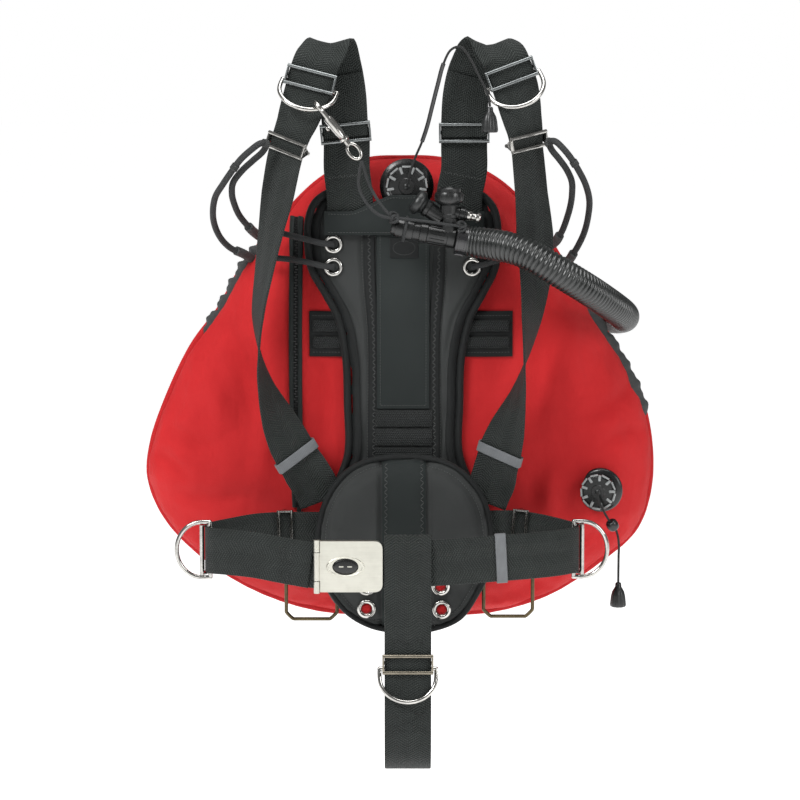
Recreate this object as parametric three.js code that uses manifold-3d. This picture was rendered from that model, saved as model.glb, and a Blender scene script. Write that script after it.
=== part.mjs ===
// Sidemount buoyancy compensator vest: wing, back pad, webbing harness, metal hardware,
// inflator with corrugated hose, two dump valves, bungee loops and rails.
// Millimetres, +Z up, the diver stands on the -Y side, +X to the right of a viewer there.
// The origin is where a hanger carries the two shoulder straps.
import * as THREE from 'three';
import { mergeVertices } from 'three/addons/utils/BufferGeometryUtils.js';
import Module from 'manifold-3d';

const wasm = await Module();
wasm.setup();

// ---------------------------------------------------------------- driving dimensions
const GAP = 0.4; // between pieces that touch
const WEBBING_WIDTH = 50;
const WEBBING_THICKNESS = 2.4;

const WING_SCALE_X = 1; // stretches the wing's outline sideways
const WING_SCALE_Z = 1; // stretches it upwards
const WING_CENTRE = new THREE.Vector3(0, 52, -400);
const WING_FRONT_DEPTH = 49;
const WING_BACK_DEPTH = 50;
const WING_WALL = 1.6;
const BLADDER_GAP = 2;
const SEAM_GAP = 0.8;

const PAD_BACK_Y = 0;
const PAD_THICKNESS = 12;
const PANEL_THICKNESS = 4;
const PANEL_WIDTH = 58;
const PANEL_TOP = -209;
const PANEL_BOTTOM = -403;
const PAD_STRAP_TOP = -118;
const PAD_STRAP_BOTTOM = -205;
const LUMBAR_BACK_Y = -24.6;
const LUMBAR_THICKNESS = 17;
const LUMBAR_ROUNDING = 4;

const GLIDE_BAR = 4; // diameter of a tri-glide's bars
const GLIDE_PITCH = 9; // from the middle bar to each outer bar
const GLIDE_CHEEK = 2; // thickness of its end plates
const CHEEK_MARGIN = 1; // from its bars to the edge of an end plate
const GLIDE_CLEARANCE = 1.1; // between its bars and the strap's faces
const RING_WIRE = 4.8;
const RING_DROP = 36; // from a D-ring's straight bar to the middle of its arc
const RING_STRAIGHT = 9;
const SMALL_GLIDE_PITCH = 7;
const KEEPER_WALL = 1.6;
const KEEPER_LENGTH = 12;
const KEEPER_SLACK = 1.6;

const BELT_Z = -541;
const BUCKLE_WIDTH = 71;
const BUCKLE_HEIGHT = 55;
const BUCKLE_PLATE = 2;
const BUCKLE_PIN_RADIUS = 1.5;
const BUCKLE_KNUCKLE_RADIUS = 3.2;
const BUCKLE_LEFT_X = -94;
const BUCKLE_Z = -559;
const BELT_FRONT_Y = -117;

const BARREL_RADIUS = 10.5;
const INFLATOR_Y = -58;
const BUTTON_TRAVEL = 3.5;
const BUTTON_PROUD = 5;
const BUTTON_CLEARANCE = 0.4;
const HOSE_DIAMETER = 34;
const CLAMP_LENGTH = 12;

const BUNGEE_DIAMETER = 7;
const PULL_CORD_DIAMETER = 2.6;
const SNAP_CORD_DIAMETER = 3.4;
const RAIL_WIRE = 4;

const TOP_VALVE = {
  seat: new THREE.Vector3(3, 6, -160),
  tilt: 0,
  flangeRadius: 31,
  capRadius: 23,
  capHeight: 15,
  neckRadius: 14,
  neckLength: 20,
};
const LOWER_VALVE = {
  seat: new THREE.Vector3(218, 8, -496),
  tilt: 0.24,
  flangeRadius: 26,
  capRadius: 20,
  capHeight: 14,
  neckRadius: 12,
  neckLength: 22,
};

// ---------------------------------------------------------------- materials
/** A material by its colour and how rough and metallic it is. */
function finish(color, roughness, metalness = 0) {
  return new THREE.MeshStandardMaterial({ color, roughness, metalness });
}

const RED_CLOTH = finish(0xbe2a2c, 0.75);
const BLADDER_FILM = finish(0x9aa0a4, 0.5);
const PAD_CLOTH = finish(0x2c2f2e, 0.85);
const PANEL_CLOTH = finish(0x1b2220, 0.55);
const WEBBING = finish(0x2e3230, 0.8);
const STEEL = finish(0xd8d6d0, 0.25, 1);
const BRONZE = finish(0x5c543c, 0.4, 1);
const ELASTIC = finish(0x6e7376, 0.7);
const BLACK_PLASTIC = finish(0x141615, 0.45);
const RUBBER = finish(0x191b1a, 0.6);

// ---------------------------------------------------------------- solids
/** A closed geometry with its shared vertices merged and its faces turned outwards. */
function outward(geometry) {
  const copy = geometry.clone();
  copy.deleteAttribute('normal');
  copy.deleteAttribute('uv');
  const merged = mergeVertices(copy, 1e-4);
  const corners = merged.index.array;
  const position = merged.attributes.position;
  const [a, b, c] = [new THREE.Vector3(), new THREE.Vector3(), new THREE.Vector3()];
  let volume = 0;
  for (let i = 0; i < corners.length; i += 3) {
    a.fromBufferAttribute(position, corners[i]);
    b.fromBufferAttribute(position, corners[i + 1]);
    c.fromBufferAttribute(position, corners[i + 2]);
    volume += a.dot(b.cross(c));
  }
  if (volume < 0) {
    for (let i = 0; i < corners.length; i += 3) {
      [corners[i], corners[i + 1]] = [corners[i + 1], corners[i]];
    }
  }
  merged.computeVertexNormals();
  return merged;
}

/** A closed geometry as a solid that can be joined and cut. */
function solidOf(geometry, matrix) {
  const placed = matrix ? geometry.clone().applyMatrix4(matrix) : geometry;
  const merged = outward(placed);
  const triVerts = Uint32Array.from(merged.index.array);
  const vertProperties = Float32Array.from(merged.attributes.position.array);
  return new wasm.Manifold(new wasm.Mesh({ numProp: 3, vertProperties, triVerts }));
}

/** A solid as a geometry. */
function geometryOf(solid) {
  const mesh = solid.getMesh();
  const geometry = new THREE.BufferGeometry();
  geometry.setAttribute('position', new THREE.BufferAttribute(new Float32Array(mesh.vertProperties), 3));
  geometry.setIndex(new THREE.BufferAttribute(new Uint32Array(mesh.triVerts), 1));
  geometry.computeVertexNormals();
  return geometry;
}

const union = (solids) => solids.reduce((whole, next) => whole.add(next));
const subtract = (solid, cutters) => cutters.reduce((whole, next) => whole.subtract(next), solid);
const v3 = (x, y, z) => new THREE.Vector3(x, y, z);

/** A matrix that puts local +Z along a direction, at a point. */
function placeAlong(point, direction) {
  const turn = new THREE.Quaternion().setFromUnitVectors(v3(0, 0, 1), direction.clone().normalize());
  return new THREE.Matrix4().compose(point, turn, v3(1, 1, 1));
}

/** A round rod between two points. */
function rod(start, end, radius, sides = 16) {
  const length = start.distanceTo(end);
  const cylinder = new THREE.CylinderGeometry(radius, radius, length, sides);
  cylinder.rotateX(Math.PI / 2);
  const middle = start.clone().lerp(end, 0.5);
  return solidOf(cylinder, placeAlong(middle, end.clone().sub(start)));
}

/** A solid of revolution about a direction: the profile lists [radius, height]. */
function turned(profile, point, direction, sides = 24) {
  const lathe = new THREE.LatheGeometry(profile.map(([r, h]) => new THREE.Vector2(r, h)), sides);
  lathe.rotateX(Math.PI / 2);
  return solidOf(lathe, placeAlong(point, direction));
}

/** A box by its size and centre. */
function block(width, depth, height, centre) {
  const box = new THREE.BoxGeometry(width, depth, height);
  return solidOf(box, new THREE.Matrix4().makeTranslation(centre.x, centre.y, centre.z));
}

/** A flat slab with an outline in X and Z, from y = back to y = back - thickness. */
function slab(outline, back, thickness, rounding = 0) {
  const options = {
    depth: thickness - 2 * rounding,
    steps: 1,
    curveSegments: 6,
    bevelEnabled: rounding > 0,
    bevelSize: rounding,
    bevelThickness: rounding,
    bevelOffset: -rounding,
    bevelSegments: 1,
  };
  const geometry = new THREE.ExtrudeGeometry(outline, options);
  geometry.translate(0, 0, rounding);
  geometry.rotateX(Math.PI / 2);
  geometry.translate(0, back, 0);
  return geometry;
}

/** A closed smooth outline through points that are listed as [x, z]. */
function smoothOutline(points, divisions) {
  const curve = new THREE.CatmullRomCurve3(points.map(([x, z]) => v3(x, z, 0)), true, 'centripetal');
  const ring = curve.getPoints(divisions).slice(0, -1);
  return new THREE.Shape(ring.map((p) => new THREE.Vector2(p.x, p.y)));
}

// ---------------------------------------------------------------- webbing and cords
/** Stations along a strap: points are [x, y, z, twist in degrees]; across is the width at no twist. */
function strapStations(points, count, across, swing) {
  const centres = new THREE.CatmullRomCurve3(points.map(([x, y, z]) => v3(x, y, z)), false, 'centripetal');
  const stations = [];
  for (let i = 0; i <= count; i += 1) {
    const u = i / count;
    const centre = centres.getPointAt(u);
    const tangent = centres.getTangentAt(u);
    const place = centres.getUtoTmapping(u) * (points.length - 1);
    const before = Math.min(Math.floor(place), points.length - 2);
    const share = place - before;
    const angle = (points[before][3] ?? 0) * (1 - share) + (points[before + 1][3] ?? 0) * share;
    const turn = THREE.MathUtils.degToRad(angle);
    const width = across.clone().multiplyScalar(Math.cos(turn)).addScaledVector(swing, Math.sin(turn));
    width.addScaledVector(tangent, -width.dot(tangent)).normalize();
    stations.push({ centre, tangent, width, normal: tangent.clone().cross(width) });
  }
  return stations;
}

/** A flat strap that follows its stations: a box whose slices are moved onto them. */
function ribbon(stations, width = WEBBING_WIDTH, thickness = WEBBING_THICKNESS) {
  const geometry = new THREE.BoxGeometry(width, thickness, 1, 1, 1, stations.length - 1);
  const position = geometry.attributes.position;
  for (let i = 0; i < position.count; i += 1) {
    const slice = Math.round((position.getZ(i) + 0.5) * (stations.length - 1));
    const station = stations[slice];
    const moved = station.centre.clone();
    moved.addScaledVector(station.width, position.getX(i));
    moved.addScaledVector(station.normal, position.getY(i));
    position.setXYZ(i, moved.x, moved.y, moved.z);
  }
  return geometry;
}

/** The frame of a strap at a station: x across, z back along the strap, y through it to the rear. */
function strapFrame(stations, index, facing) {
  const { centre, tangent, width } = stations[index];
  const up = tangent.clone().negate();
  const across = width.clone();
  const rear = up.clone().cross(across);
  if (rear.dot(facing) > 0) {
    rear.negate();
    across.negate();
  }
  return new THREE.Matrix4().makeBasis(across, rear, up).setPosition(centre);
}

/** The station nearest a point. */
function nearestStation(stations, point) {
  const distances = stations.map((station) => station.centre.distanceTo(point));
  return distances.indexOf(Math.min(...distances));
}

/** A round cord through points. */
function cord(points, diameter, steps, sides = 8) {
  const path = new THREE.CatmullRomCurve3(points.map(([x, y, z]) => v3(x, y, z)), false, 'centripetal');
  const section = new THREE.Shape();
  for (let i = 0; i < sides; i += 1) {
    const angle = (i * 2 * Math.PI) / sides;
    const corner = [Math.cos(angle) * diameter / 2, Math.sin(angle) * diameter / 2];
    if (i === 0) {
      section.moveTo(...corner);
    } else {
      section.lineTo(...corner);
    }
  }
  return new THREE.ExtrudeGeometry(section, { steps, extrudePath: path, curveSegments: 1 });
}

// ---------------------------------------------------------------- hardware in strap frames
const glideInner = (width) => width / 2 + GAP;
const glideFace = WEBBING_THICKNESS / 2 + GLIDE_CLEARANCE + GLIDE_BAR / 2;

/** A tri-glide: two bars before the strap, one behind it, and two cheeks beside it. */
function triGlide(pitch = GLIDE_PITCH, width = WEBBING_WIDTH) {
  const inner = glideInner(width);
  const reach = inner + GLIDE_CHEEK / 2;
  const radius = GLIDE_BAR / 2;
  const bars = [[-glideFace, pitch], [-glideFace, -pitch], [glideFace, 0]];
  const parts = bars.map(([y, z]) => rod(v3(-reach, y, z), v3(reach, y, z), radius, 8));
  const face = glideFace + CHEEK_MARGIN;
  const high = pitch + CHEEK_MARGIN;
  const corners = [[-face, high], [-face, -high], [face, 0]];
  const cheek = new THREE.Shape(corners.map(([y, z]) => new THREE.Vector2(y, z)));
  for (const side of [-1, 1]) {
    const plate = new THREE.ExtrudeGeometry(cheek, { depth: GLIDE_CHEEK, bevelEnabled: false, steps: 1 });
    plate.translate(0, 0, -GLIDE_CHEEK / 2);
    const turn = new THREE.Matrix4().makeBasis(v3(0, 1, 0), v3(0, 0, 1), v3(1, 0, 0));
    turn.setPosition(side * (inner + GLIDE_CHEEK / 2), 0, 0);
    parts.push(solidOf(plate, turn));
  }
  return union(parts);
}

const RING_SIDE_PLAY = 0.3; // between a ring and the cheeks of its tri-glide, beyond the gap
const ringReach = glideInner(WEBBING_WIDTH) + GLIDE_CHEEK + GAP + RING_WIRE / 2 + RING_SIDE_PLAY;
const RING_BAR_SHARE = 0.72; // how far below the middle bar a ring's bar sits, as a share of the pitch
const ringPivot = v3(0, WEBBING_THICKNESS / 2 + GLIDE_CLEARANCE + RING_WIRE / 2, -GLIDE_PITCH * RING_BAR_SHARE);
const RING_REST_GAP = 3.8; // between the strap's front and a hanging ring's arc
const RING_REST_DROP = RING_DROP - 4; // where the arc comes nearest the strap
const ringRise = ringPivot.y + WEBBING_THICKNESS / 2 + RING_WIRE / 2 + RING_REST_GAP;
const ringLean = Math.atan2(ringRise, RING_REST_DROP);
const CLIPPED_LEAN = ringLean + 0.4; // the left shoulder ring is drawn forward by the bolt snap
const SHOULDER_LEAN = ringLean + 0.24;

/** A point on a D-ring's arc, in its strap frame: angle 0 is its right shoulder, 90 its lowest point. */
function ringPoint(angle, lean = ringLean) {
  const turn = THREE.MathUtils.degToRad(angle);
  const low = -RING_STRAIGHT - (RING_DROP - RING_STRAIGHT) * Math.sin(turn);
  const flat = v3(ringReach * Math.cos(turn), 0, low);
  return flat.applyAxisAngle(v3(1, 0, 0), -lean).add(ringPivot);
}

/** A D-ring whose straight bar lies behind the strap and whose arc leans on its front. */
function dRing(lean = ringLean) {
  const arc = [];
  for (let angle = 0; angle <= 180; angle += 20) {
    arc.push(ringPoint(angle, lean));
  }
  const left = v3(-ringReach, ringPivot.y, ringPivot.z);
  const right = v3(ringReach, ringPivot.y, ringPivot.z);
  const path = [right, ...arc, left].map((point) => point.toArray());
  const bow = solidOf(cord(path, RING_WIRE, 14));
  return union([bow, rod(left, right, RING_WIRE / 2, 8), ...[left, right].map((end) => knuckle(end))]);
}

/** The round corner of a D-ring. */
function knuckle(end) {
  const ball = new THREE.SphereGeometry(RING_WIRE / 2, 8, 5);
  return solidOf(ball, new THREE.Matrix4().makeTranslation(end.x, end.y, end.z));
}

/** An elastic band round a strap, with some slack where the strap twists. */
function keeper(slack = GAP) {
  const half = WEBBING_THICKNESS / 2 + slack;
  const hole = WEBBING_WIDTH + 2 * GAP;
  const middle = v3(0, 0, 0);
  const outer = block(hole + 2 * KEEPER_WALL, 2 * (half + KEEPER_WALL), KEEPER_LENGTH, middle);
  return outer.subtract(block(hole, 2 * half, KEEPER_LENGTH + 2, middle));
}

// ---------------------------------------------------------------- the model
const vest = new THREE.Group();

/** Adds a geometry or solid to the vest as a named mesh. */
function addPiece(name, shape, material, matrix) {
  const geometry = shape.isBufferGeometry ? outward(shape) : geometryOf(shape);
  const mesh = new THREE.Mesh(geometry, material);
  mesh.name = name;
  if (matrix) {
    mesh.applyMatrix4(matrix);
  }
  vest.add(mesh);
  return mesh;
}

// ---------------------------------------------------------------- wing
const WING_OUTLINE = [
  [0, -129], [-40, -131], [-83, -147], [-112, -170], [-145, -208], [-178, -247], [-207, -298],
  [-238, -340],
  [-268, -402], [-285, -452], [-288, -490], [-270, -535], [-225, -582], [-165, -619], [-100, -640],
  [-40, -645],
  [40, -645], [100, -642], [165, -622], [222, -585], [262, -549], [277, -508], [279, -458], [268, -402],
  [244, -352], [216, -308], [180, -250], [145, -196], [112, -160], [76, -139], [36, -130],
];

const wingCorners = WING_OUTLINE.map(([x, z]) => v3(x * WING_SCALE_X, z * WING_SCALE_Z, 0));
const wingRing = new THREE.CatmullRomCurve3(wingCorners, true, 'centripetal').getPoints(240);

/** The distance from the wing's centre to its outline in a direction. */
function wingReach(angle) {
  let best = wingRing[0];
  let smallest = Infinity;
  for (const point of wingRing) {
    const bearing = Math.atan2(point.y - WING_CENTRE.z, point.x - WING_CENTRE.x);
    const off = Math.abs(Math.atan2(Math.sin(bearing - angle), Math.cos(bearing - angle)));
    if (off < smallest) {
      smallest = off;
      best = point;
    }
  }
  return Math.hypot(best.x - WING_CENTRE.x, best.y - WING_CENTRE.z);
}

/** A puffed solid: a closed [share of reach, depth] profile turned about Y and stretched to the outline. */
function puffed(profile, sides = 36) {
  const lathe = new THREE.LatheGeometry(profile.map(([r, d]) => new THREE.Vector2(r, d)), sides);
  const geometry = mergeVertices(stripped(lathe), 1e-5);
  const position = geometry.attributes.position;
  for (let i = 0; i < position.count; i += 1) {
    const angle = Math.atan2(-position.getZ(i), position.getX(i));
    const share = Math.hypot(position.getX(i), position.getZ(i));
    const reach = share > 0 ? wingReach(angle) * share : 0;
    const x = WING_CENTRE.x + reach * Math.cos(angle);
    const z = WING_CENTRE.z + reach * Math.sin(angle);
    position.setXYZ(i, x, position.getY(i), z);
  }
  return geometry;
}

/** A geometry with only its positions left. */
function stripped(geometry) {
  geometry.deleteAttribute('normal');
  geometry.deleteAttribute('uv');
  return geometry;
}

const domeHeight = (share) => Math.sqrt(Math.max(0, 1 - share ** 4));
const DOME_SHARES = [1, 0.97, 0.9, 0.78, 0.6, 0.35, 0];

const INNER_SHARE = 0.99; // size of a panel's inner dome against its outer one

/** The profile of one wing panel: outer dome, rim and inner dome. */
function panelProfile(depth, side) {
  const seam = WING_CENTRE.y + side * SEAM_GAP / 2;
  const yAt = (share, height) => seam + side * height * domeHeight(share);
  const dome = (shrink, height) => DOME_SHARES.map((share) => [share * shrink, yAt(share, height)]);
  const outer = dome(1, depth);
  const inner = dome(INNER_SHARE, depth - WING_WALL);
  return [...outer.reverse(), ...inner];
}

const BLADDER_SHARE = 0.975; // size of the bladder against the wing

/** The bladder fills the wing with a small gap all round. */
function bladderProfile() {
  const inset = WING_WALL + BLADDER_GAP;
  const yAt = (share, depth) => WING_CENTRE.y + depth * domeHeight(share);
  const dome = (depth) => DOME_SHARES.map((share) => [share * BLADDER_SHARE, yAt(share, depth)]);
  const front = dome(-(WING_FRONT_DEPTH - inset));
  const back = dome(WING_BACK_DEPTH - inset);
  return [...front.reverse(), ...back.slice(1)];
}

const valveAxis = (valve) => v3(-Math.sin(valve.tilt), -Math.cos(valve.tilt), 0);

/** The room that a valve's neck and flange take out of the wing. */
function valveRoom(valve) {
  const axis = valveAxis(valve);
  const rear = valve.seat.clone().addScaledVector(axis, -valve.neckLength - 3);
  const mouth = valve.seat.clone().addScaledVector(axis, 40);
  const neck = rod(rear, mouth, valve.neckRadius + GAP, 16);
  const flangeBack = valve.seat.clone().addScaledVector(axis, -GAP);
  return neck.add(rod(flangeBack, mouth, valve.flangeRadius + GAP, 20));
}

/** The elbow's room in the wing's back panel. */
const ELBOW_SEAT = v3(172, 96, -314);
const ELBOW_FLANGE_RADIUS = 26;
const ELBOW_NECK_RADIUS = 15;
const atElbow = (y) => v3(ELBOW_SEAT.x, y, ELBOW_SEAT.z);
const elbowRoom = rod(atElbow(60), atElbow(140), ELBOW_NECK_RADIUS + GAP, 16);
const elbowFlangeRoom = rod(atElbow(ELBOW_SEAT.y - GAP), atElbow(140), ELBOW_FLANGE_RADIUS + GAP, 20);

const valveRooms = [TOP_VALVE, LOWER_VALVE].map(valveRoom);
const frontPanel = subtract(solidOf(puffed(panelProfile(WING_FRONT_DEPTH, -1))), valveRooms);
const backShell = solidOf(puffed(panelProfile(WING_BACK_DEPTH, 1).reverse()));
const backPanel = subtract(backShell, [elbowRoom, elbowFlangeRoom]);
const bladder = subtract(solidOf(puffed(bladderProfile())), [...valveRooms, elbowRoom, elbowFlangeRoom]);
addPiece('wing_front_panel', frontPanel, RED_CLOTH);
addPiece('wing_back_panel', backPanel, RED_CLOTH);
addPiece('wing_bladder', bladder, BLADDER_FILM);

// ---------------------------------------------------------------- back pad and lumbar pad
const PAD_OUTLINE = [
  [-62, -163], [-82, -167], [-97, -178], [-104, -196], [-105, -220], [-101, -250], [-86, -277],
  [-72, -304],
  [-64, -345], [-62, -400], [-62, -455], [-78, -500], [-88, -550], [-84, -600], [-60, -632], [-25, -642],
  [25, -642], [60, -632], [84, -600], [88, -550], [78, -500], [61, -455], [61, -400], [63, -345],
  [72, -304], [86, -277], [99, -250], [102, -220], [101, -196], [95, -180], [81, -168], [62, -163],
  [48, -176], [38, -194], [18, -203], [-14, -203], [-34, -194], [-45, -176],
];
const LUMBAR_OUTLINE = [
  [0, -452], [-30, -454], [-55, -463], [-74, -480], [-88, -505], [-95, -535], [-92, -582], [-80, -606],
  [-62, -628], [-35, -643], [0, -648], [35, -645], [62, -633], [80, -608], [93, -580], [96, -535],
  [90, -505], [75, -480], [55, -463], [30, -454],
];
const padFront = PAD_BACK_Y - PAD_THICKNESS;
addPiece('back_pad', slab(smoothOutline(PAD_OUTLINE, 60), PAD_BACK_Y, PAD_THICKNESS, 2), PAD_CLOTH);
const panelCentre = v3(-1, padFront - GAP - PANEL_THICKNESS / 2, (PANEL_TOP + PANEL_BOTTOM) / 2);
const panel = block(PANEL_WIDTH, PANEL_THICKNESS, PANEL_TOP - PANEL_BOTTOM, panelCentre);
addPiece('centre_panel', panel, PANEL_CLOTH);
const lumbar = slab(smoothOutline(LUMBAR_OUTLINE, 36), LUMBAR_BACK_Y, LUMBAR_THICKNESS, LUMBAR_ROUNDING);
addPiece('lumbar_pad', lumbar, PAD_CLOTH);

// ---------------------------------------------------------------- shoulder straps
const LEFT_STRAP_POINTS = [
  [-62, -17, -114, 0], [-64, -18, -92, 0], [-66, -19, -60, 0], [-71, -22, -30, 0], [-78, -34, -7, 0],
  [-90, -47, -20, 3], [-97, -49, -36, 5], [-103, -50, -57, 8], [-114, -50, -88, 26],
  [-119, -50, -100, 34],
  [-127, -49, -124, 40], [-136, -46, -168, 44], [-143, -44, -204, 55], [-151, -43, -250, 65],
  [-158, -44, -300, 74], [-156, -45, -343, 90], [-149, -46, -377, 108], [-137, -44, -410, 134],
  [-125, -39, -437, 150], [-111, -32, -463, 154], [-98, -22, -486, 174], [-93, -19.6, -497, 180],
  [-90, -19.6, -505, 180],
];
const RIGHT_STRAP_POINTS = [
  [65, -17, -114, 0], [65, -18, -92, 0], [67, -19, -60, 0], [74, -22, -32, 0], [88, -34, -9, 0],
  [104, -47, -18, 3], [112, -49, -34, 6], [119, -50, -54, 10], [126, -50, -84, 30], [129, -49, -97, 38],
  [132, -47, -119, 46], [137, -43, -168, 44], [141, -40, -213, 35], [142, -40, -256, 46],
  [138, -43, -302, 62], [130, -46, -354, 88], [123, -46, -387, 108], [113, -43, -420, 136],
  [106, -38, -443, 151], [101, -31, -464, 154], [96, -23, -486, 174], [91, -19.6, -498, 180],
  [88, -19.6, -506, 180],
];
const STRAP_STEPS = 52;
const rightward = v3(1, 0, 0);
const leftStrap = strapStations(LEFT_STRAP_POINTS, STRAP_STEPS, rightward, v3(0, -1, 0));
const rightStrap = strapStations(RIGHT_STRAP_POINTS, STRAP_STEPS, rightward, v3(0, 1, 0));
addPiece('shoulder_strap_left', ribbon(leftStrap), WEBBING);
addPiece('shoulder_strap_right', ribbon(rightStrap), WEBBING);

const sides = [
  {
    side: 'left',
    strap: leftStrap,
    padStrapX: -59,
    ringAt: v3(-101, -50, -48),
    bungeeAt: v3(-122, -50, -112),
    keeperAt: v3(-118, -38, -449),
    sewnTop: -62,
  },
  {
    side: 'right',
    strap: rightStrap,
    padStrapX: 60,
    ringAt: v3(116, -50, -44),
    bungeeAt: v3(131, -48, -108),
    keeperAt: v3(104, -36, -452),
    sewnTop: 65,
  },
];
const frontward = v3(0, -1, 0);

/** The straight stretch of sewn webbing that carries a shoulder strap's rear tri-glide. */
function padStrap(bottomX, topX) {
  const y = padFront - GAP - WEBBING_THICKNESS / 2;
  const points = [
    [bottomX, y, PAD_STRAP_BOTTOM], [bottomX, y, -170], [topX, y - 1.4, -142], [topX, -17, PAD_STRAP_TOP],
  ];
  return ribbon(strapStations(points, 6, rightward, frontward));
}

const ringFrames = {};
const ringLeans = { left: CLIPPED_LEAN, right: SHOULDER_LEAN };
for (const { side, strap, padStrapX, ringAt, bungeeAt, keeperAt, sewnTop } of sides) {
  addPiece(`pad_strap_${side}`, padStrap(padStrapX, sewnTop), WEBBING);
  const rearIndex = nearestStation(strap, v3(sewnTop, -18, -100));
  addPiece(`rear_tri_glide_${side}`, triGlide(), STEEL, strapFrame(strap, rearIndex, frontward));
  const ringFrame = strapFrame(strap, nearestStation(strap, ringAt), frontward);
  ringFrames[side] = ringFrame;
  addPiece(`shoulder_tri_glide_${side}`, triGlide(), STEEL, ringFrame);
  addPiece(`shoulder_d_ring_${side}`, dRing(ringLeans[side]), STEEL, ringFrame);
  const bungeeFrame = strapFrame(strap, nearestStation(strap, bungeeAt), frontward);
  addPiece(`bungee_tri_glide_${side}`, triGlide(SMALL_GLIDE_PITCH), STEEL, bungeeFrame);
  const keeperFrame = strapFrame(strap, nearestStation(strap, keeperAt), frontward);
  addPiece(`shoulder_keeper_${side}`, keeper(KEEPER_SLACK), ELASTIC, keeperFrame);
}

// ---------------------------------------------------------------- waist belt
const LEFT_BELT_POINTS = [
  [-56, -22.4, BELT_Z], [-90, -22.4, BELT_Z], [-134, -22.4, BELT_Z], [-162, -27, -542], [-186, -35, -545],
  [-205, -46, -547], [-213, -57, -548], [-214, -68, -548], [-213, -79, -548], [-206, -91, -547],
  [-190, -98, -547], [-160, -105, -549], [-128, -111, -554], [-99, -115, -558.5],
];
const RIGHT_BELT_POINTS = [
  [56, -22.4, BELT_Z], [82, -22.4, -540], [112, -22.4, -539], [130, -23.5, -540], [148, -29, -542],
  [168, -39, -545],
  [182, -50, -547], [187, -58, -548], [188, -68, -548], [187, -79, -548], [180, -90, -547],
  [164, -99, -548], [128, -108, -550], [90, -113, -552], [44, -116, -555], [0, BELT_FRONT_Y, -557],
  [-30, BELT_FRONT_Y, -558.5], [-84, BELT_FRONT_Y, -559.5],
];
const BELT_STEPS = 38;
const upward = v3(0, 0, 1);
const leftBelt = strapStations(LEFT_BELT_POINTS, BELT_STEPS, upward, frontward);
const rightBelt = strapStations(RIGHT_BELT_POINTS, BELT_STEPS, upward, frontward);
addPiece('waist_belt_left', ribbon(leftBelt), WEBBING);
addPiece('waist_belt_right', ribbon(rightBelt), WEBBING);

const RING_OUT = Math.PI / 2;
const belts = [
  {
    side: 'left',
    belt: leftBelt,
    ringAt: v3(-214, -68, -548),
    innerAt: v3(-127, -22, -541),
    out: v3(-1, 0, 0),
  },
  {
    side: 'right',
    belt: rightBelt,
    ringAt: v3(188, -68, -548),
    innerAt: v3(121, -22, -539),
    out: v3(1, 0, 0),
  },
];
for (const { side, belt, ringAt, innerAt, out } of belts) {
  const frame = strapFrame(belt, nearestStation(belt, ringAt), out);
  addPiece(`waist_tri_glide_${side}`, triGlide(), STEEL, frame);
  addPiece(`waist_d_ring_${side}`, dRing(RING_OUT), STEEL, frame);
  const innerFrame = strapFrame(belt, nearestStation(belt, innerAt), frontward);
  addPiece(`belt_tri_glide_${side}`, triGlide(SMALL_GLIDE_PITCH), STEEL, innerFrame);
}
const beltKeeperFrame = strapFrame(rightBelt, nearestStation(rightBelt, v3(98, -112, -552)), frontward);
addPiece('belt_keeper', keeper(), ELASTIC, beltKeeperFrame);

// ---------------------------------------------------------------- crotch strap
const CROTCH_X = 4;
const CROTCH_FRONT_Y = BELT_FRONT_Y - WEBBING_THICKNESS - 1.8;
const CROTCH_REAR_Y = BELT_FRONT_Y + WEBBING_THICKNESS + 3.2;
const CROTCH_TOP_Z = -526;
const crotchPoints = [
  [CROTCH_X, CROTCH_REAR_Y, -600], [CROTCH_X, CROTCH_REAR_Y, -534],
  [CROTCH_X, BELT_FRONT_Y, CROTCH_TOP_Z],
  [CROTCH_X, CROTCH_FRONT_Y, -534], [CROTCH_X, CROTCH_FRONT_Y, -560], [CROTCH_X, CROTCH_FRONT_Y, -620],
  [CROTCH_X, CROTCH_FRONT_Y, -700], [CROTCH_X, CROTCH_FRONT_Y, -742], [CROTCH_X, -111, -771],
  [CROTCH_X, -85, -787], [CROTCH_X, -55, -780], [CROTCH_X, -33, -757], [CROTCH_X, -22, -720],
  [CROTCH_X, -18, -680], [CROTCH_X, -17, -640], [CROTCH_X, -17, -600],
];
const crotchStrap = strapStations(crotchPoints, 46, rightward, frontward);
addPiece('crotch_strap', ribbon(crotchStrap), WEBBING);
const crotchFrame = new THREE.Matrix4().makeTranslation(CROTCH_X, CROTCH_FRONT_Y, -664);
addPiece('crotch_tri_glide', triGlide(), STEEL, crotchFrame);
addPiece('crotch_d_ring', dRing(ringLean), STEEL, crotchFrame);

// ---------------------------------------------------------------- cam buckle
const buckleRight = BUCKLE_LEFT_X + BUCKLE_WIDTH;
const buckleMiddle = (BUCKLE_LEFT_X + buckleRight) / 2;
const plateOutline = (left, right, corner) => {
  const half = BUCKLE_HEIGHT / 2;
  const shape = new THREE.Shape();
  shape.moveTo(left, BUCKLE_Z - half);
  shape.lineTo(right - corner, BUCKLE_Z - half);
  shape.quadraticCurveTo(right, BUCKLE_Z - half, right, BUCKLE_Z - half + corner);
  shape.lineTo(right, BUCKLE_Z + half - corner);
  shape.quadraticCurveTo(right, BUCKLE_Z + half, right - corner, BUCKLE_Z + half);
  shape.lineTo(left, BUCKLE_Z + half);
  return shape;
};
const hingeX = BUCKLE_LEFT_X + 1;
const coverBack = BELT_FRONT_Y - WEBBING_THICKNESS / 2 - GAP;
const frameFront = BELT_FRONT_Y + WEBBING_THICKNESS / 2 + GAP;
const hingeY = coverBack - BUCKLE_PLATE / 2 - 0.2;
const lobe = BUCKLE_KNUCKLE_RADIUS;
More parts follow.
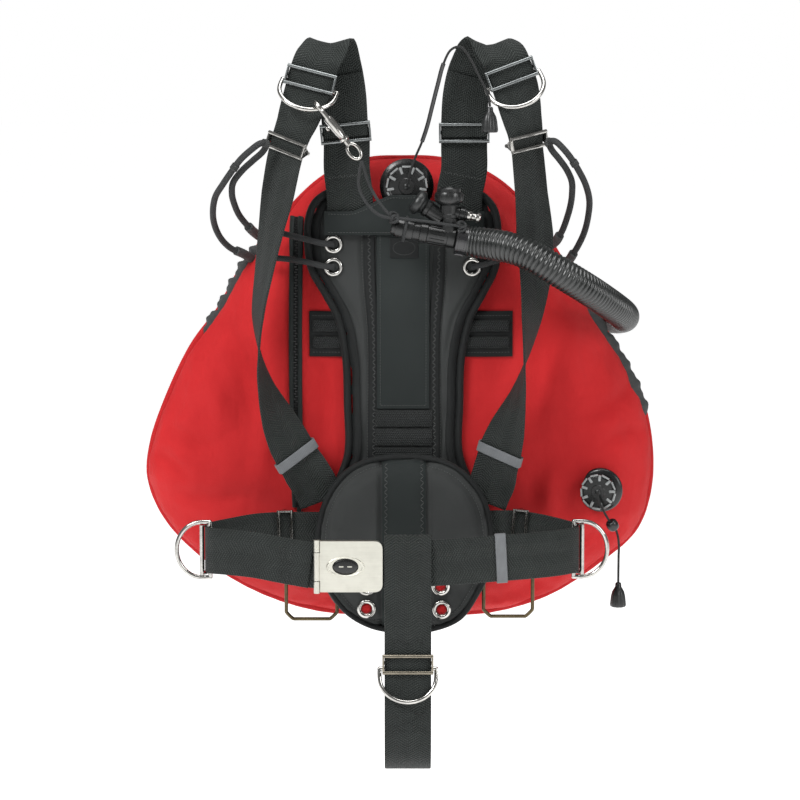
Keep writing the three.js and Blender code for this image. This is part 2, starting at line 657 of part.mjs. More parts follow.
const knuckleSplit = BUCKLE_HEIGHT / 2 - 12;
const hingePoint = (z) => v3(hingeX, hingeY, BUCKLE_Z + z);

/** The hinged cover: a plate, its middle knuckle and an oval window. */
function buckleCover() {
  const plate = solidOf(slab(plateOutline(hingeX + lobe + GAP, buckleRight, 9), coverBack, BUCKLE_PLATE));
  const tube = rod(hingePoint(-knuckleSplit + GAP), hingePoint(knuckleSplit - GAP), lobe, 16);
  const webLength = 2 * (knuckleSplit - GAP);
  const webMiddle = v3(hingeX + lobe - 0.5, coverBack - BUCKLE_PLATE / 2, BUCKLE_Z);
  const web = block(lobe + 3, BUCKLE_PLATE, webLength, webMiddle);
  const bore = rod(hingePoint(-40), hingePoint(40), BUCKLE_PIN_RADIUS + GAP, 16);
  const window = new THREE.CylinderGeometry(1, 1, 12, 24);
  const place = new THREE.Matrix4().makeTranslation(buckleMiddle - 4, coverBack, BUCKLE_Z);
  place.multiply(new THREE.Matrix4().makeScale(14, 1, 9));
  return subtract(union([plate, tube, web]), [bore, solidOf(window, place)]);
}

/** The fixed frame behind the belt, with the outer knuckles and a slot for the sewn belt end. */
function buckleFrame() {
  const outline = plateOutline(BUCKLE_LEFT_X, buckleRight - 2, 6);
  const plate = solidOf(slab(outline, frameFront + BUCKLE_PLATE, BUCKLE_PLATE));
  const parts = [plate];
  for (const end of [-1, 1]) {
    const low = end * knuckleSplit + end * GAP;
    const high = end * (BUCKLE_HEIGHT / 2);
    parts.push(rod(hingePoint(low), hingePoint(high), lobe, 16));
    const edge = BUCKLE_Z + end * (WEBBING_WIDTH / 2 + 1.4 + (BUCKLE_HEIGHT - WEBBING_WIDTH) / 4);
    const link = v3(hingeX, (hingeY + frameFront + BUCKLE_PLATE) / 2, edge);
    parts.push(block(2 * lobe, Math.abs(frameFront + BUCKLE_PLATE - hingeY), 1.2, link));
    parts.push(rod(hingePoint(high), hingePoint(high).add(v3(0, 0, end * 1.2)), lobe, 16));
  }
  const slot = block(6, 8, WEBBING_WIDTH - 2, v3(BUCKLE_LEFT_X + 9, frameFront + 1, BUCKLE_Z));
  const opening = block(34, 8, 36, v3(buckleMiddle + 6, frameFront + 1, BUCKLE_Z));
  const bore = rod(hingePoint(-40), hingePoint(40), BUCKLE_PIN_RADIUS + GAP, 16);
  return subtract(union(parts), [slot, opening, bore]);
}
addPiece('buckle_cover', buckleCover(), STEEL);
addPiece('buckle_frame', buckleFrame(), STEEL);
addPiece('buckle_pin', rod(hingePoint(-BUCKLE_HEIGHT / 2 - 1), hingePoint(BUCKLE_HEIGHT / 2 + 1),
  BUCKLE_PIN_RADIUS, 12), STEEL);

// ---------------------------------------------------------------- inflator
const barrelStart = v3(-9, INFLATOR_Y, -201.4);
const barrelEnd = v3(64, INFLATOR_Y, -215.4);
const barrelAxis = barrelEnd.clone().sub(barrelStart).normalize();
const along = (distance) => barrelStart.clone().addScaledVector(barrelAxis, distance);
const STEM_X = 48;
const onStem = (z) => v3(STEM_X, INFLATOR_Y, z);
const STEM_TOP = -164;
const HEAD_FLOOR = -174;
const portStart = onStem(-184);
const portAxis = v3(0.97, 0, -0.24).normalize();
const mouthStart = v3(40, INFLATOR_Y, -192);
const mouthAxis = v3(-0.82, 0, 0.57).normalize();
const BUTTON_BORE = 12;
const endButtonRadius = BARREL_RADIUS - 1.4;
const STEM_RADIUS = 9.5;
const headRadius = 15;
const headButtonRadius = headRadius - 2.2;
const PORT_LENGTH = 20;
const MOUTH_LENGTH = 22;
const CLAMP_START = 66;

/** The inflator's body: barrel, stem, head, connector port and mouthpiece tube. */
function inflatorBody() {
  const collar = turned([[0, 0], [BARREL_RADIUS + 1.6, 0], [BARREL_RADIUS + 1.6, 11], [0, 11]],
    along(8), barrelAxis, 16);
  const parts = [
    rod(barrelStart, along(CLAMP_START - GAP), BARREL_RADIUS, 16),
    collar,
    rod(onStem(-208), onStem(STEM_TOP), STEM_RADIUS, 12),
    turned([[0, 0], [STEM_RADIUS, 0], [headRadius, 4], [headRadius, 14], [0, 14]], onStem(-178), upward, 16),
    rod(portStart, portStart.clone().addScaledVector(portAxis, PORT_LENGTH), 6.8, 12),
    rod(mouthStart, mouthStart.clone().addScaledVector(mouthAxis, MOUTH_LENGTH), 8.5, 12),
  ];
  const cuts = [
    rod(along(-2), along(BUTTON_BORE), endButtonRadius + BUTTON_CLEARANCE, 16),
    rod(onStem(HEAD_FLOOR), onStem(-150), headButtonRadius + BUTTON_CLEARANCE, 16),
  ];
  return subtract(union(parts), cuts);
}
addPiece('inflator_body', inflatorBody(), BLACK_PLASTIC);
const endButtonInner = BUTTON_BORE - BUTTON_TRAVEL - 1;
const endButton = rod(along(-BUTTON_PROUD), along(endButtonInner), endButtonRadius, 16);
addPiece('deflate_button', endButton, BLACK_PLASTIC);
const headButtonFoot = onStem(HEAD_FLOOR + BUTTON_TRAVEL + 1);
const headButton = rod(headButtonFoot, onStem(STEM_TOP + BUTTON_PROUD), headButtonRadius, 16);
addPiece('inflate_button', headButton, BLACK_PLASTIC);
const mouthTip = mouthStart.clone().addScaledVector(mouthAxis, MOUTH_LENGTH + GAP);
const mouthProfile = [[0, 0], [9, 0], [13.5, 4], [13.5, 9], [11, 13], [0, 13]];
addPiece('mouthpiece', turned(mouthProfile, mouthTip, mouthAxis, 14), RUBBER);
const nippleStart = portStart.clone().addScaledVector(portAxis, PORT_LENGTH + GAP);
const nippleProfile = [
  [0, 0], [5.5, 0], [5.5, 4], [4, 5], [4, 9], [5.6, 10], [5.6, 13], [3, 14.5], [0, 14.5],
];
addPiece('hose_nipple', turned(nippleProfile, nippleStart, portAxis, 10), STEEL);

// ---------------------------------------------------------------- hose, clamp and elbow
const hoseStart = along(CLAMP_START + GAP + 1);
const HOSE_POINTS = [
  [hoseStart.x, hoseStart.y, hoseStart.z], [74, -59, -217.3], [90, -64, -219], [111, -75, -222],
  [132, -82, -229],
  [152, -84, -240], [172, -80, -252], [194, -66, -266], [214, -42, -280], [231, -12, -293],
  [242, 22, -303],
  [245, 56, -309], [240, 86, -313], [228, 106, -314], [216, 113.5, -314], [208, 115, -314],
];
addPiece('corrugated_hose', cord(HOSE_POINTS, HOSE_DIAMETER - 4, 28, 12), RUBBER);
const clampMiddle = along(CLAMP_START + 6);
const clampOuter = HOSE_DIAMETER / 2 - 0.7;
const clampInner = (HOSE_DIAMETER - 4) / 2 + 0.9;
addPiece('hose_clamp', turned([[clampInner, -CLAMP_LENGTH / 2], [clampOuter, -CLAMP_LENGTH / 2],
  [clampOuter, CLAMP_LENGTH / 2], [clampInner, CLAMP_LENGTH / 2], [clampInner, -CLAMP_LENGTH / 2]],
clampMiddle, barrelAxis, 16), RUBBER);

const ELBOW_TUBE = 29;

/** The elbow that joins the hose to the wing's back panel. */
function hoseElbow() {
  const { x, y, z } = ELBOW_SEAT;
  const bend = [
    [x, y - 14, z], [x, y + 4, z], [x + 3, y + 12, z], [x + 11, y + 18, z], [x + 22, 115, z],
    [205, 115, z],
  ];
  return solidOf(cord(bend, ELBOW_TUBE, 8, 12)).add(rod(ELBOW_SEAT, v3(x, y + 4, z), ELBOW_FLANGE_RADIUS, 20));
}
addPiece('hose_elbow', hoseElbow(), BLACK_PLASTIC);

// ---------------------------------------------------------------- dump valves
const VALVE_WALL = 2.4;
const VALVE_FLANGE = 5;
const POPPET_STEM = 2.4;

/** A dump valve's body: neck, flange and a cap with vent windows and a hole for the pull. */
function dumpValve(valve) {
  const cavityTop = VALVE_FLANGE + valve.capHeight - VALVE_WALL;
  const inner = valve.neckRadius - VALVE_WALL;
  const profile = [
    [inner, -valve.neckLength], [valve.neckRadius, -valve.neckLength], [valve.neckRadius, 0],
    [valve.flangeRadius, 0], [valve.flangeRadius, 3], [valve.capRadius + 2, VALVE_FLANGE],
    [valve.capRadius, VALVE_FLANGE], [valve.capRadius - 2, VALVE_FLANGE + valve.capHeight],
    [POPPET_STEM + 0.6, VALVE_FLANGE + valve.capHeight], [POPPET_STEM + 0.6, cavityTop],
    [valve.capRadius - 2 - VALVE_WALL, cavityTop], [valve.capRadius - 2 - VALVE_WALL, 2], [inner, 2],
    [inner, -valve.neckLength],
  ];
  const body = turned(profile, valve.seat, valveAxis(valve), 20);
  const place = placeAlong(valve.seat, valveAxis(valve));
  const windows = [];
  for (let i = 0; i < 6; i += 1) {
    const slot = new THREE.BoxGeometry(9, 8, valve.capHeight * 0.42);
    const turn = new THREE.Matrix4().makeRotationZ((i * Math.PI) / 3);
    const height = VALVE_FLANGE + valve.capHeight * 0.62;
    turn.multiply(new THREE.Matrix4().makeTranslation(0, valve.capRadius - 1.6, height));
    windows.push(solidOf(slot, place.clone().multiply(turn)));
  }
  return subtract(body, windows);
}

/** The sprung disc under the cap, with the stem that the pull cord is tied to. */
function poppet(valve) {
  const rest = 2 + GAP;
  const front = VALVE_FLANGE + valve.capHeight + 1.5;
  const radius = valve.capRadius - 2 - VALVE_WALL - 1;
  const disc = rest + 2.5;
  const profile = [
    [0, rest], [radius, rest], [radius, disc], [POPPET_STEM, disc], [POPPET_STEM, front], [0, front],
  ];
  return turned(profile, valve.seat, valveAxis(valve), 16);
}

/** Where a valve's pull cord starts. */
function pullStart(valve) {
  return valve.seat.clone().addScaledVector(valveAxis(valve), VALVE_FLANGE + valve.capHeight + 1.5 + 1.3);
}

const KNOB_LENGTH = 27;
/** A ribbed pull knob that hangs from a point. */
function pullKnob(top) {
  const profile = [
    [0, 0], [3.2, 0], [4.4, -5], [6, -8], [8.2, -16], [9.2, 3 - KNOB_LENGTH], [8, -KNOB_LENGTH],
    [0, -KNOB_LENGTH],
  ];
  return turned(profile.reverse(), top, upward, 12);
}

const topStart = pullStart(TOP_VALVE);
const TOP_CORD_POINTS = [
  [topStart.x, topStart.y, topStart.z], [3.6, -19, -157], [7, -24, -143], [13, -27, -126],
  [19, -30, -112],
  [25, -32, -94], [30, -35, -74], [36, -40, -50], [42, -45, -28], [50, -51, -13], [60, -56, -10],
  [70, -61, -22],
  [78, -65, -38], [85, -68, -52], [90, -69, -64], [91, -69, -73],
];
addPiece('top_dump_valve', dumpValve(TOP_VALVE), BLACK_PLASTIC);
addPiece('top_dump_poppet', poppet(TOP_VALVE), BLACK_PLASTIC);
addPiece('top_pull_cord', cord(TOP_CORD_POINTS, PULL_CORD_DIAMETER, 28), BLACK_PLASTIC);
addPiece('top_pull_knob', pullKnob(v3(91, -69, -73 - GAP)), RUBBER);

const lowerStart = pullStart(LOWER_VALVE);
const LOCK_LENGTH = 11;
const LOWER_CORD_POINTS = [
  [lowerStart.x, lowerStart.y, lowerStart.z], [214, -17, -504], [219, -20, -515], [226, -19, -527],
  [234, -14, -539], [237, -11, -553], [237, -10, -568], [237, -9, -583], [237, -9, -597],
];
addPiece('lower_dump_valve', dumpValve(LOWER_VALVE), BLACK_PLASTIC);
addPiece('lower_dump_poppet', poppet(LOWER_VALVE), BLACK_PLASTIC);
addPiece('lower_pull_cord', cord(LOWER_CORD_POINTS, PULL_CORD_DIAMETER, 18), BLACK_PLASTIC);
addPiece('lower_pull_knob', pullKnob(v3(237, -9, -597 - GAP)), RUBBER);
const lockMiddle = v3(229.4, -17.6, -531.5);
const lockAxis = v3(0.52, 0.3, -0.8).normalize();
const lockHalf = LOCK_LENGTH / 2;
const lockProfile = [
  [2.4, -lockHalf], [6, -lockHalf], [6.6, 0], [5, lockHalf], [2.4, lockHalf], [2.4, -lockHalf],
];
addPiece('cord_lock', turned(lockProfile, lockMiddle, lockAxis, 12), BLACK_PLASTIC);

// ---------------------------------------------------------------- bungee loops
// each loop runs from the wing's edge up to its tri-glide and back down to the wing
const LEFT_BUNGEE_POINTS = [
  [-178, 34, -236], [-190, 24, -230], [-200, 12, -219], [-206, -4, -204], [-207, -22, -188],
  [-203, -40, -170],
  [-194, -54, -156], [-184, -64, -142], [-174, -68, -129], [-163, -68, -119], [-153, -64, -112],
  [-147, -57, -113], [-151, -52, -121], [-161, -54, -130], [-173, -55, -141], [-183, -51, -154],
  [-185, -42, -167], [-183, -30, -179], [-179, -14, -191], [-173, 2, -201], [-166, 14, -210],
];
const RIGHT_BUNGEE_POINTS = [
  [183, 30, -242], [191, 18, -227], [197, 4, -211], [200, -14, -192], [200, -30, -174], [195, -44, -157],
  [187, -56, -142], [178, -62, -128], [169, -61, -117], [161, -56, -110], [155, -49, -111],
  [158, -44, -119],
  [166, -45, -129], [174, -46, -140], [180, -42, -153], [181, -34, -167], [180, -24, -180],
  [177, -10, -195],
  [173, 4, -209], [167, 15, -221],
];
addPiece('bungee_left', cord(LEFT_BUNGEE_POINTS, BUNGEE_DIAMETER, 34), RUBBER);
addPiece('bungee_right', cord(RIGHT_BUNGEE_POINTS, BUNGEE_DIAMETER, 32), RUBBER);

// ---------------------------------------------------------------- rails
/** A bent wire rail: a U whose ends are held between the back pad and the lumbar pad. */
function rail(outerX, innerX, low, tops) {
  const y = padFront - GAP - RAIL_WIRE / 2;
  const inward = Math.sign(innerX - outerX);
  const points = [
    [outerX + inward * 20, y, tops], [outerX + inward * 6, y, tops], [outerX, y, tops - 8],
    [outerX, y, low + 8],
    [outerX + inward * 8, y, low], [innerX - inward * 8, y, low], [innerX, y, low + 8],
    [innerX, y, low + 42],
  ];
  return cord(points, RAIL_WIRE, 18);
}
addPiece('rail_left', rail(-130, -74, -637, -578), BRONZE);
addPiece('rail_right', rail(142, 88, -634, -576), BRONZE);

// ---------------------------------------------------------------- bolt snap and its cord
const SNAP_ANGLE = 48; // where on the ring's arc the snap is hooked
const SNAP_WIRE = 2.6;
const HOOK_RADIUS = 8.2;
const BOLT_RADIUS = 1.8;
const BOLT_Y = HOOK_RADIUS - 2; // the bolt's place beside the snap's axis
const snapHeld = ringPoint(SNAP_ANGLE, CLIPPED_LEAN).applyMatrix4(ringFrames.left);
const snapAxis = v3(0.62, -0.12, -0.78).normalize();
const snapSide = v3(0, 1, 0).cross(snapAxis).normalize();
const snapDepth = snapAxis.clone().cross(snapSide).normalize();
const snapFrame = new THREE.Matrix4().makeBasis(snapSide, snapDepth, snapAxis).setPosition(snapHeld);
const SNAP_BARREL_START = 12;
const SNAP_BARREL_END = 40;
const SNAP_EYE = 58;
const SNAP_Y = -1.2; // the barrel and eye lie this far beside the hook's centre

/** The snap's body in its own frame: a hook in the y-z plane, and a barrel that the bolt slides in. */
function snapBody() {
  const hookPath = [];
  for (let angle = 105; angle <= 300; angle += 15) {
    const turn = THREE.MathUtils.degToRad(angle);
    hookPath.push([0, HOOK_RADIUS * Math.sin(turn), HOOK_RADIUS * Math.cos(turn)]);
  }
  hookPath.push([0, -HOOK_RADIUS, 4], [0, -HOOK_RADIUS, SNAP_BARREL_START + 3]);
  const hook = solidOf(cord(hookPath, 2 * SNAP_WIRE, 16));
  const barrel = rod(v3(0, SNAP_Y, SNAP_BARREL_START), v3(0, SNAP_Y, SNAP_BARREL_END), 9.6, 16);
  const slim = new THREE.Matrix4().makeScale(0.55, 1, 1);
  const body = solidOf(geometryOf(barrel), slim).add(hook);
  const bore = rod(v3(0, BOLT_Y, 6), v3(0, BOLT_Y, 34), BOLT_RADIUS + GAP, 12);
  const slot = block(20, 2 * BOLT_RADIUS + 0.6, 16, v3(10, BOLT_Y, 25));
  return subtract(body, [bore, slot]);
}
addPiece('bolt_snap', snapBody(), STEEL, snapFrame);
const bolt = union([
  rod(v3(0, BOLT_Y, 3.6), v3(0, BOLT_Y, 24), BOLT_RADIUS, 12),
  rod(v3(0, BOLT_Y, 21), v3(9, BOLT_Y, 21), BOLT_RADIUS, 12),
]);
addPiece('snap_bolt', bolt, STEEL, snapFrame);
const eyeRing = new THREE.TorusGeometry(9, 2.3, 6, 16);
eyeRing.rotateX(Math.PI / 2);
const eye = union([
  turned([[0, 0], [5, 0], [5, 3], [3, 5], [3, 9], [0, 9]], v3(0, SNAP_Y, SNAP_BARREL_END + GAP), upward, 10),
  solidOf(eyeRing, new THREE.Matrix4().makeTranslation(0, SNAP_Y, SNAP_EYE)),
]);
addPiece('snap_eye', eye, STEEL, snapFrame);
const cordFrom = v3(0, SNAP_Y, SNAP_EYE + 9 + 2.3 + GAP + 1).applyMatrix4(snapFrame);
const SNAP_CORD_POINTS = [
  [cordFrom.x, cordFrom.y, cordFrom.z], [-36, -67, -158], [-28, -69, -172], [-19, -70, -184],
  [-10, -71.5, -192],
];
addPiece('snap_cord', cord(SNAP_CORD_POINTS, SNAP_CORD_DIAMETER, 14), RUBBER);

export default vest;
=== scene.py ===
"""Sidemount buoyancy vest, in metres: cloth, webbing, cords, hardware, finishes, light and camera."""
import logging
import math
from dataclasses import dataclass, field
from enum import Enum
from typing import Callable, Iterable, Optional, Sequence

import bmesh
import bpy
from mathutils import Matrix, Vector, noise
from mathutils.bvhtree import BVHTree


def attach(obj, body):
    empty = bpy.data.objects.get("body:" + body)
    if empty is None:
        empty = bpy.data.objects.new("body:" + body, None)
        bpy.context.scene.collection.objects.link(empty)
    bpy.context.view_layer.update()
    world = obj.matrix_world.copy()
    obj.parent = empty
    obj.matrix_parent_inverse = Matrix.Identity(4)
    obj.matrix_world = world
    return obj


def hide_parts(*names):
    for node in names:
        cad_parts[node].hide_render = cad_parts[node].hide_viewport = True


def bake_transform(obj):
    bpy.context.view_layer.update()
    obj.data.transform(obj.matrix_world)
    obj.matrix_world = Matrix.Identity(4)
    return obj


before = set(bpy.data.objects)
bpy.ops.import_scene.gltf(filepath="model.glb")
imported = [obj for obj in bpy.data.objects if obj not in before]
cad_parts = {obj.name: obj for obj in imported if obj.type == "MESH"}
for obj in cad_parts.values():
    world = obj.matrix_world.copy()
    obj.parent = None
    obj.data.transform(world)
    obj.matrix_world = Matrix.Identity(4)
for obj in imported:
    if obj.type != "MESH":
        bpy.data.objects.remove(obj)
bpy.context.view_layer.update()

LOG = logging.getLogger("vest")
Point = Sequence[float]
TURN = 2.0 * math.pi
FOLD_GAIN = 1.5  # how much deeper the wing's folds are cut than their listed depths


# ---------------------------------------------------------------- routes shared with the frame
LEFT_STRAP = (
    (-0.062, -0.017, -0.114, 0), (-0.064, -0.018, -0.092, 0), (-0.066, -0.019, -0.060, 0),
    (-0.071, -0.022, -0.030, 0), (-0.078, -0.034, -0.007, 0), (-0.090, -0.047, -0.020, 3),
    (-0.097, -0.049, -0.036, 5), (-0.103, -0.050, -0.057, 8), (-0.114, -0.050, -0.088, 26),
    (-0.119, -0.050, -0.100, 34), (-0.127, -0.049, -0.124, 40), (-0.136, -0.046, -0.168, 44),
    (-0.143, -0.044, -0.204, 55), (-0.151, -0.043, -0.250, 65), (-0.158, -0.044, -0.300, 74),
    (-0.156, -0.045, -0.343, 90), (-0.149, -0.046, -0.377, 108), (-0.137, -0.044, -0.410, 134),
    (-0.125, -0.039, -0.437, 150), (-0.111, -0.032, -0.463, 154), (-0.098, -0.022, -0.486, 174),
    (-0.093, -0.0196, -0.497, 180), (-0.090, -0.0196, -0.505, 180),
)
RIGHT_STRAP = (
    (0.065, -0.017, -0.114, 0), (0.065, -0.018, -0.092, 0), (0.067, -0.019, -0.060, 0),
    (0.074, -0.022, -0.032, 0), (0.088, -0.034, -0.009, 0), (0.104, -0.047, -0.018, 3),
    (0.112, -0.049, -0.034, 6), (0.119, -0.050, -0.054, 10), (0.126, -0.050, -0.084, 30),
    (0.129, -0.049, -0.097, 38), (0.132, -0.047, -0.119, 46), (0.137, -0.043, -0.168, 44),
    (0.141, -0.040, -0.213, 35), (0.142, -0.040, -0.256, 46), (0.138, -0.043, -0.302, 62),
    (0.130, -0.046, -0.354, 88), (0.123, -0.046, -0.387, 108), (0.113, -0.043, -0.420, 136),
    (0.106, -0.038, -0.443, 151), (0.101, -0.031, -0.464, 154), (0.096, -0.023, -0.486, 174),
    (0.091, -0.0196, -0.498, 180), (0.088, -0.0196, -0.506, 180),
)
LEFT_BELT = (
    (-0.056, -0.0224, -0.541), (-0.090, -0.0224, -0.541), (-0.134, -0.0224, -0.541),
    (-0.162, -0.027, -0.542), (-0.186, -0.035, -0.545), (-0.205, -0.046, -0.547),
    (-0.213, -0.057, -0.548), (-0.214, -0.068, -0.548), (-0.213, -0.079, -0.548),
    (-0.206, -0.091, -0.547), (-0.190, -0.098, -0.547), (-0.160, -0.105, -0.549),
    (-0.128, -0.111, -0.554), (-0.099, -0.115, -0.5585),
)
RIGHT_BELT = (
    (0.056, -0.0224, -0.541), (0.082, -0.0224, -0.540), (0.112, -0.0224, -0.539),
    (0.130, -0.0235, -0.540), (0.148, -0.029, -0.542), (0.168, -0.039, -0.545),
    (0.182, -0.050, -0.547), (0.187, -0.058, -0.548), (0.188, -0.068, -0.548),
    (0.187, -0.079, -0.548), (0.180, -0.090, -0.547), (0.164, -0.099, -0.548),
    (0.128, -0.108, -0.550), (0.090, -0.113, -0.552), (0.044, -0.116, -0.555),
    (0.0, -0.117, -0.557), (-0.030, -0.117, -0.5585), (-0.084, -0.117, -0.5595),
)
CROTCH_STRAP = (
    (0.004, -0.1114, -0.600), (0.004, -0.1114, -0.534), (0.004, -0.117, -0.526),
    (0.004, -0.1212, -0.534), (0.004, -0.1212, -0.560), (0.004, -0.1212, -0.620),
    (0.004, -0.1212, -0.700), (0.004, -0.1212, -0.742), (0.004, -0.111, -0.771),
    (0.004, -0.085, -0.787), (0.004, -0.055, -0.780), (0.004, -0.033, -0.757),
    (0.004, -0.022, -0.720), (0.004, -0.018, -0.680), (0.004, -0.017, -0.640),
    (0.004, -0.017, -0.600),
)
HOSE = (
    (0.05719, -0.058, -0.21409), (0.074, -0.059, -0.2173), (0.090, -0.064, -0.219),
    (0.111, -0.075, -0.222), (0.132, -0.082, -0.229), (0.152, -0.084, -0.240),
    (0.172, -0.080, -0.252), (0.194, -0.066, -0.266), (0.214, -0.042, -0.280),
    (0.231, -0.012, -0.293), (0.242, 0.022, -0.303), (0.245, 0.056, -0.309),
    (0.240, 0.086, -0.313), (0.228, 0.106, -0.314), (0.216, 0.1135, -0.314), (0.208, 0.115, -0.314),
)
TOP_CORD = (
    (0.003, -0.0168, -0.160), (0.0036, -0.019, -0.157), (0.007, -0.024, -0.143),
    (0.013, -0.027, -0.126), (0.019, -0.030, -0.112), (0.025, -0.032, -0.094),
    (0.030, -0.035, -0.074), (0.036, -0.040, -0.050), (0.042, -0.045, -0.028),
    (0.050, -0.051, -0.013), (0.060, -0.056, -0.010), (0.070, -0.061, -0.022),
    (0.078, -0.065, -0.038), (0.085, -0.068, -0.052), (0.090, -0.069, -0.064), (0.091, -0.069, -0.073),
)
LOWER_CORD = (
    (0.21282, -0.01318, -0.496), (0.214, -0.017, -0.504), (0.219, -0.020, -0.515),
    (0.226, -0.019, -0.527), (0.234, -0.014, -0.539), (0.237, -0.011, -0.553),
    (0.237, -0.010, -0.568), (0.237, -0.009, -0.583), (0.237, -0.009, -0.597),
)
LEFT_BUNGEE = (
    (-0.178, 0.034, -0.236), (-0.190, 0.024, -0.230), (-0.200, 0.012, -0.219),
    (-0.206, -0.004, -0.204), (-0.207, -0.022, -0.188), (-0.203, -0.040, -0.170),
    (-0.194, -0.054, -0.156), (-0.184, -0.064, -0.142), (-0.174, -0.068, -0.129),
    (-0.163, -0.068, -0.119), (-0.153, -0.064, -0.112), (-0.147, -0.057, -0.113),
    (-0.151, -0.052, -0.121), (-0.161, -0.054, -0.130), (-0.173, -0.055, -0.141),
    (-0.183, -0.051, -0.154), (-0.185, -0.042, -0.167), (-0.183, -0.030, -0.179),
    (-0.179, -0.014, -0.191), (-0.173, 0.002, -0.201), (-0.166, 0.014, -0.210),
)
RIGHT_BUNGEE = (
    (0.183, 0.030, -0.242), (0.191, 0.018, -0.227), (0.197, 0.004, -0.211),
    (0.200, -0.014, -0.192), (0.200, -0.030, -0.174), (0.195, -0.044, -0.157),
    (0.187, -0.056, -0.142), (0.178, -0.062, -0.128), (0.169, -0.061, -0.117),
    (0.161, -0.056, -0.110), (0.155, -0.049, -0.111), (0.158, -0.044, -0.119),
    (0.166, -0.045, -0.129), (0.174, -0.046, -0.140), (0.180, -0.042, -0.153),
    (0.181, -0.034, -0.167), (0.180, -0.024, -0.180), (0.177, -0.010, -0.195),
    (0.173, 0.004, -0.209), (0.167, 0.015, -0.221),
)
SNAP_CORD = (
    (-0.04505, -0.07831, -0.12993), (-0.036, -0.067, -0.158), (-0.028, -0.069, -0.172),
    (-0.019, -0.070, -0.184), (-0.010, -0.0715, -0.192),
)
WING_OUTLINE = (
    (0, -0.129), (-0.040, -0.131), (-0.083, -0.147), (-0.112, -0.170), (-0.145, -0.208),
    (-0.178, -0.247), (-0.207, -0.298), (-0.238, -0.340), (-0.268, -0.402), (-0.285, -0.452),
    (-0.288, -0.490), (-0.270, -0.535), (-0.225, -0.582), (-0.165, -0.619), (-0.100, -0.640),
    (-0.040, -0.645), (0.040, -0.645), (0.100, -0.642), (0.165, -0.622), (0.222, -0.585),
    (0.262, -0.549), (0.277, -0.508), (0.279, -0.458), (0.268, -0.402), (0.244, -0.352),
    (0.216, -0.308), (0.180, -0.250), (0.145, -0.196), (0.112, -0.160), (0.076, -0.139), (0.036, -0.130),
)
PAD_OUTLINE = (
    (-0.062, -0.163), (-0.082, -0.167), (-0.097, -0.178), (-0.104, -0.196), (-0.105, -0.220),
    (-0.101, -0.250), (-0.086, -0.277), (-0.072, -0.304), (-0.064, -0.345), (-0.062, -0.400),
    (-0.062, -0.455), (-0.078, -0.500), (-0.088, -0.550), (-0.084, -0.600), (-0.060, -0.632),
    (-0.025, -0.642), (0.025, -0.642), (0.060, -0.632), (0.084, -0.600), (0.088, -0.550),
    (0.078, -0.500), (0.061, -0.455), (0.061, -0.400), (0.063, -0.345), (0.072, -0.304),
    (0.086, -0.277), (0.099, -0.250), (0.102, -0.220), (0.101, -0.196), (0.095, -0.180),
    (0.081, -0.168), (0.062, -0.163), (0.048, -0.176), (0.038, -0.194), (0.018, -0.203),
    (-0.014, -0.203), (-0.034, -0.194), (-0.045, -0.176),
)
LUMBAR_OUTLINE = (
    (0, -0.452), (-0.030, -0.454), (-0.055, -0.463), (-0.074, -0.480), (-0.088, -0.505),
    (-0.095, -0.535), (-0.092, -0.582), (-0.080, -0.606), (-0.062, -0.628), (-0.035, -0.643),
    (0, -0.648), (0.035, -0.645), (0.062, -0.633), (0.080, -0.608), (0.093, -0.580),
    (0.096, -0.535), (0.090, -0.505), (0.075, -0.480), (0.055, -0.463), (0.030, -0.454),
)


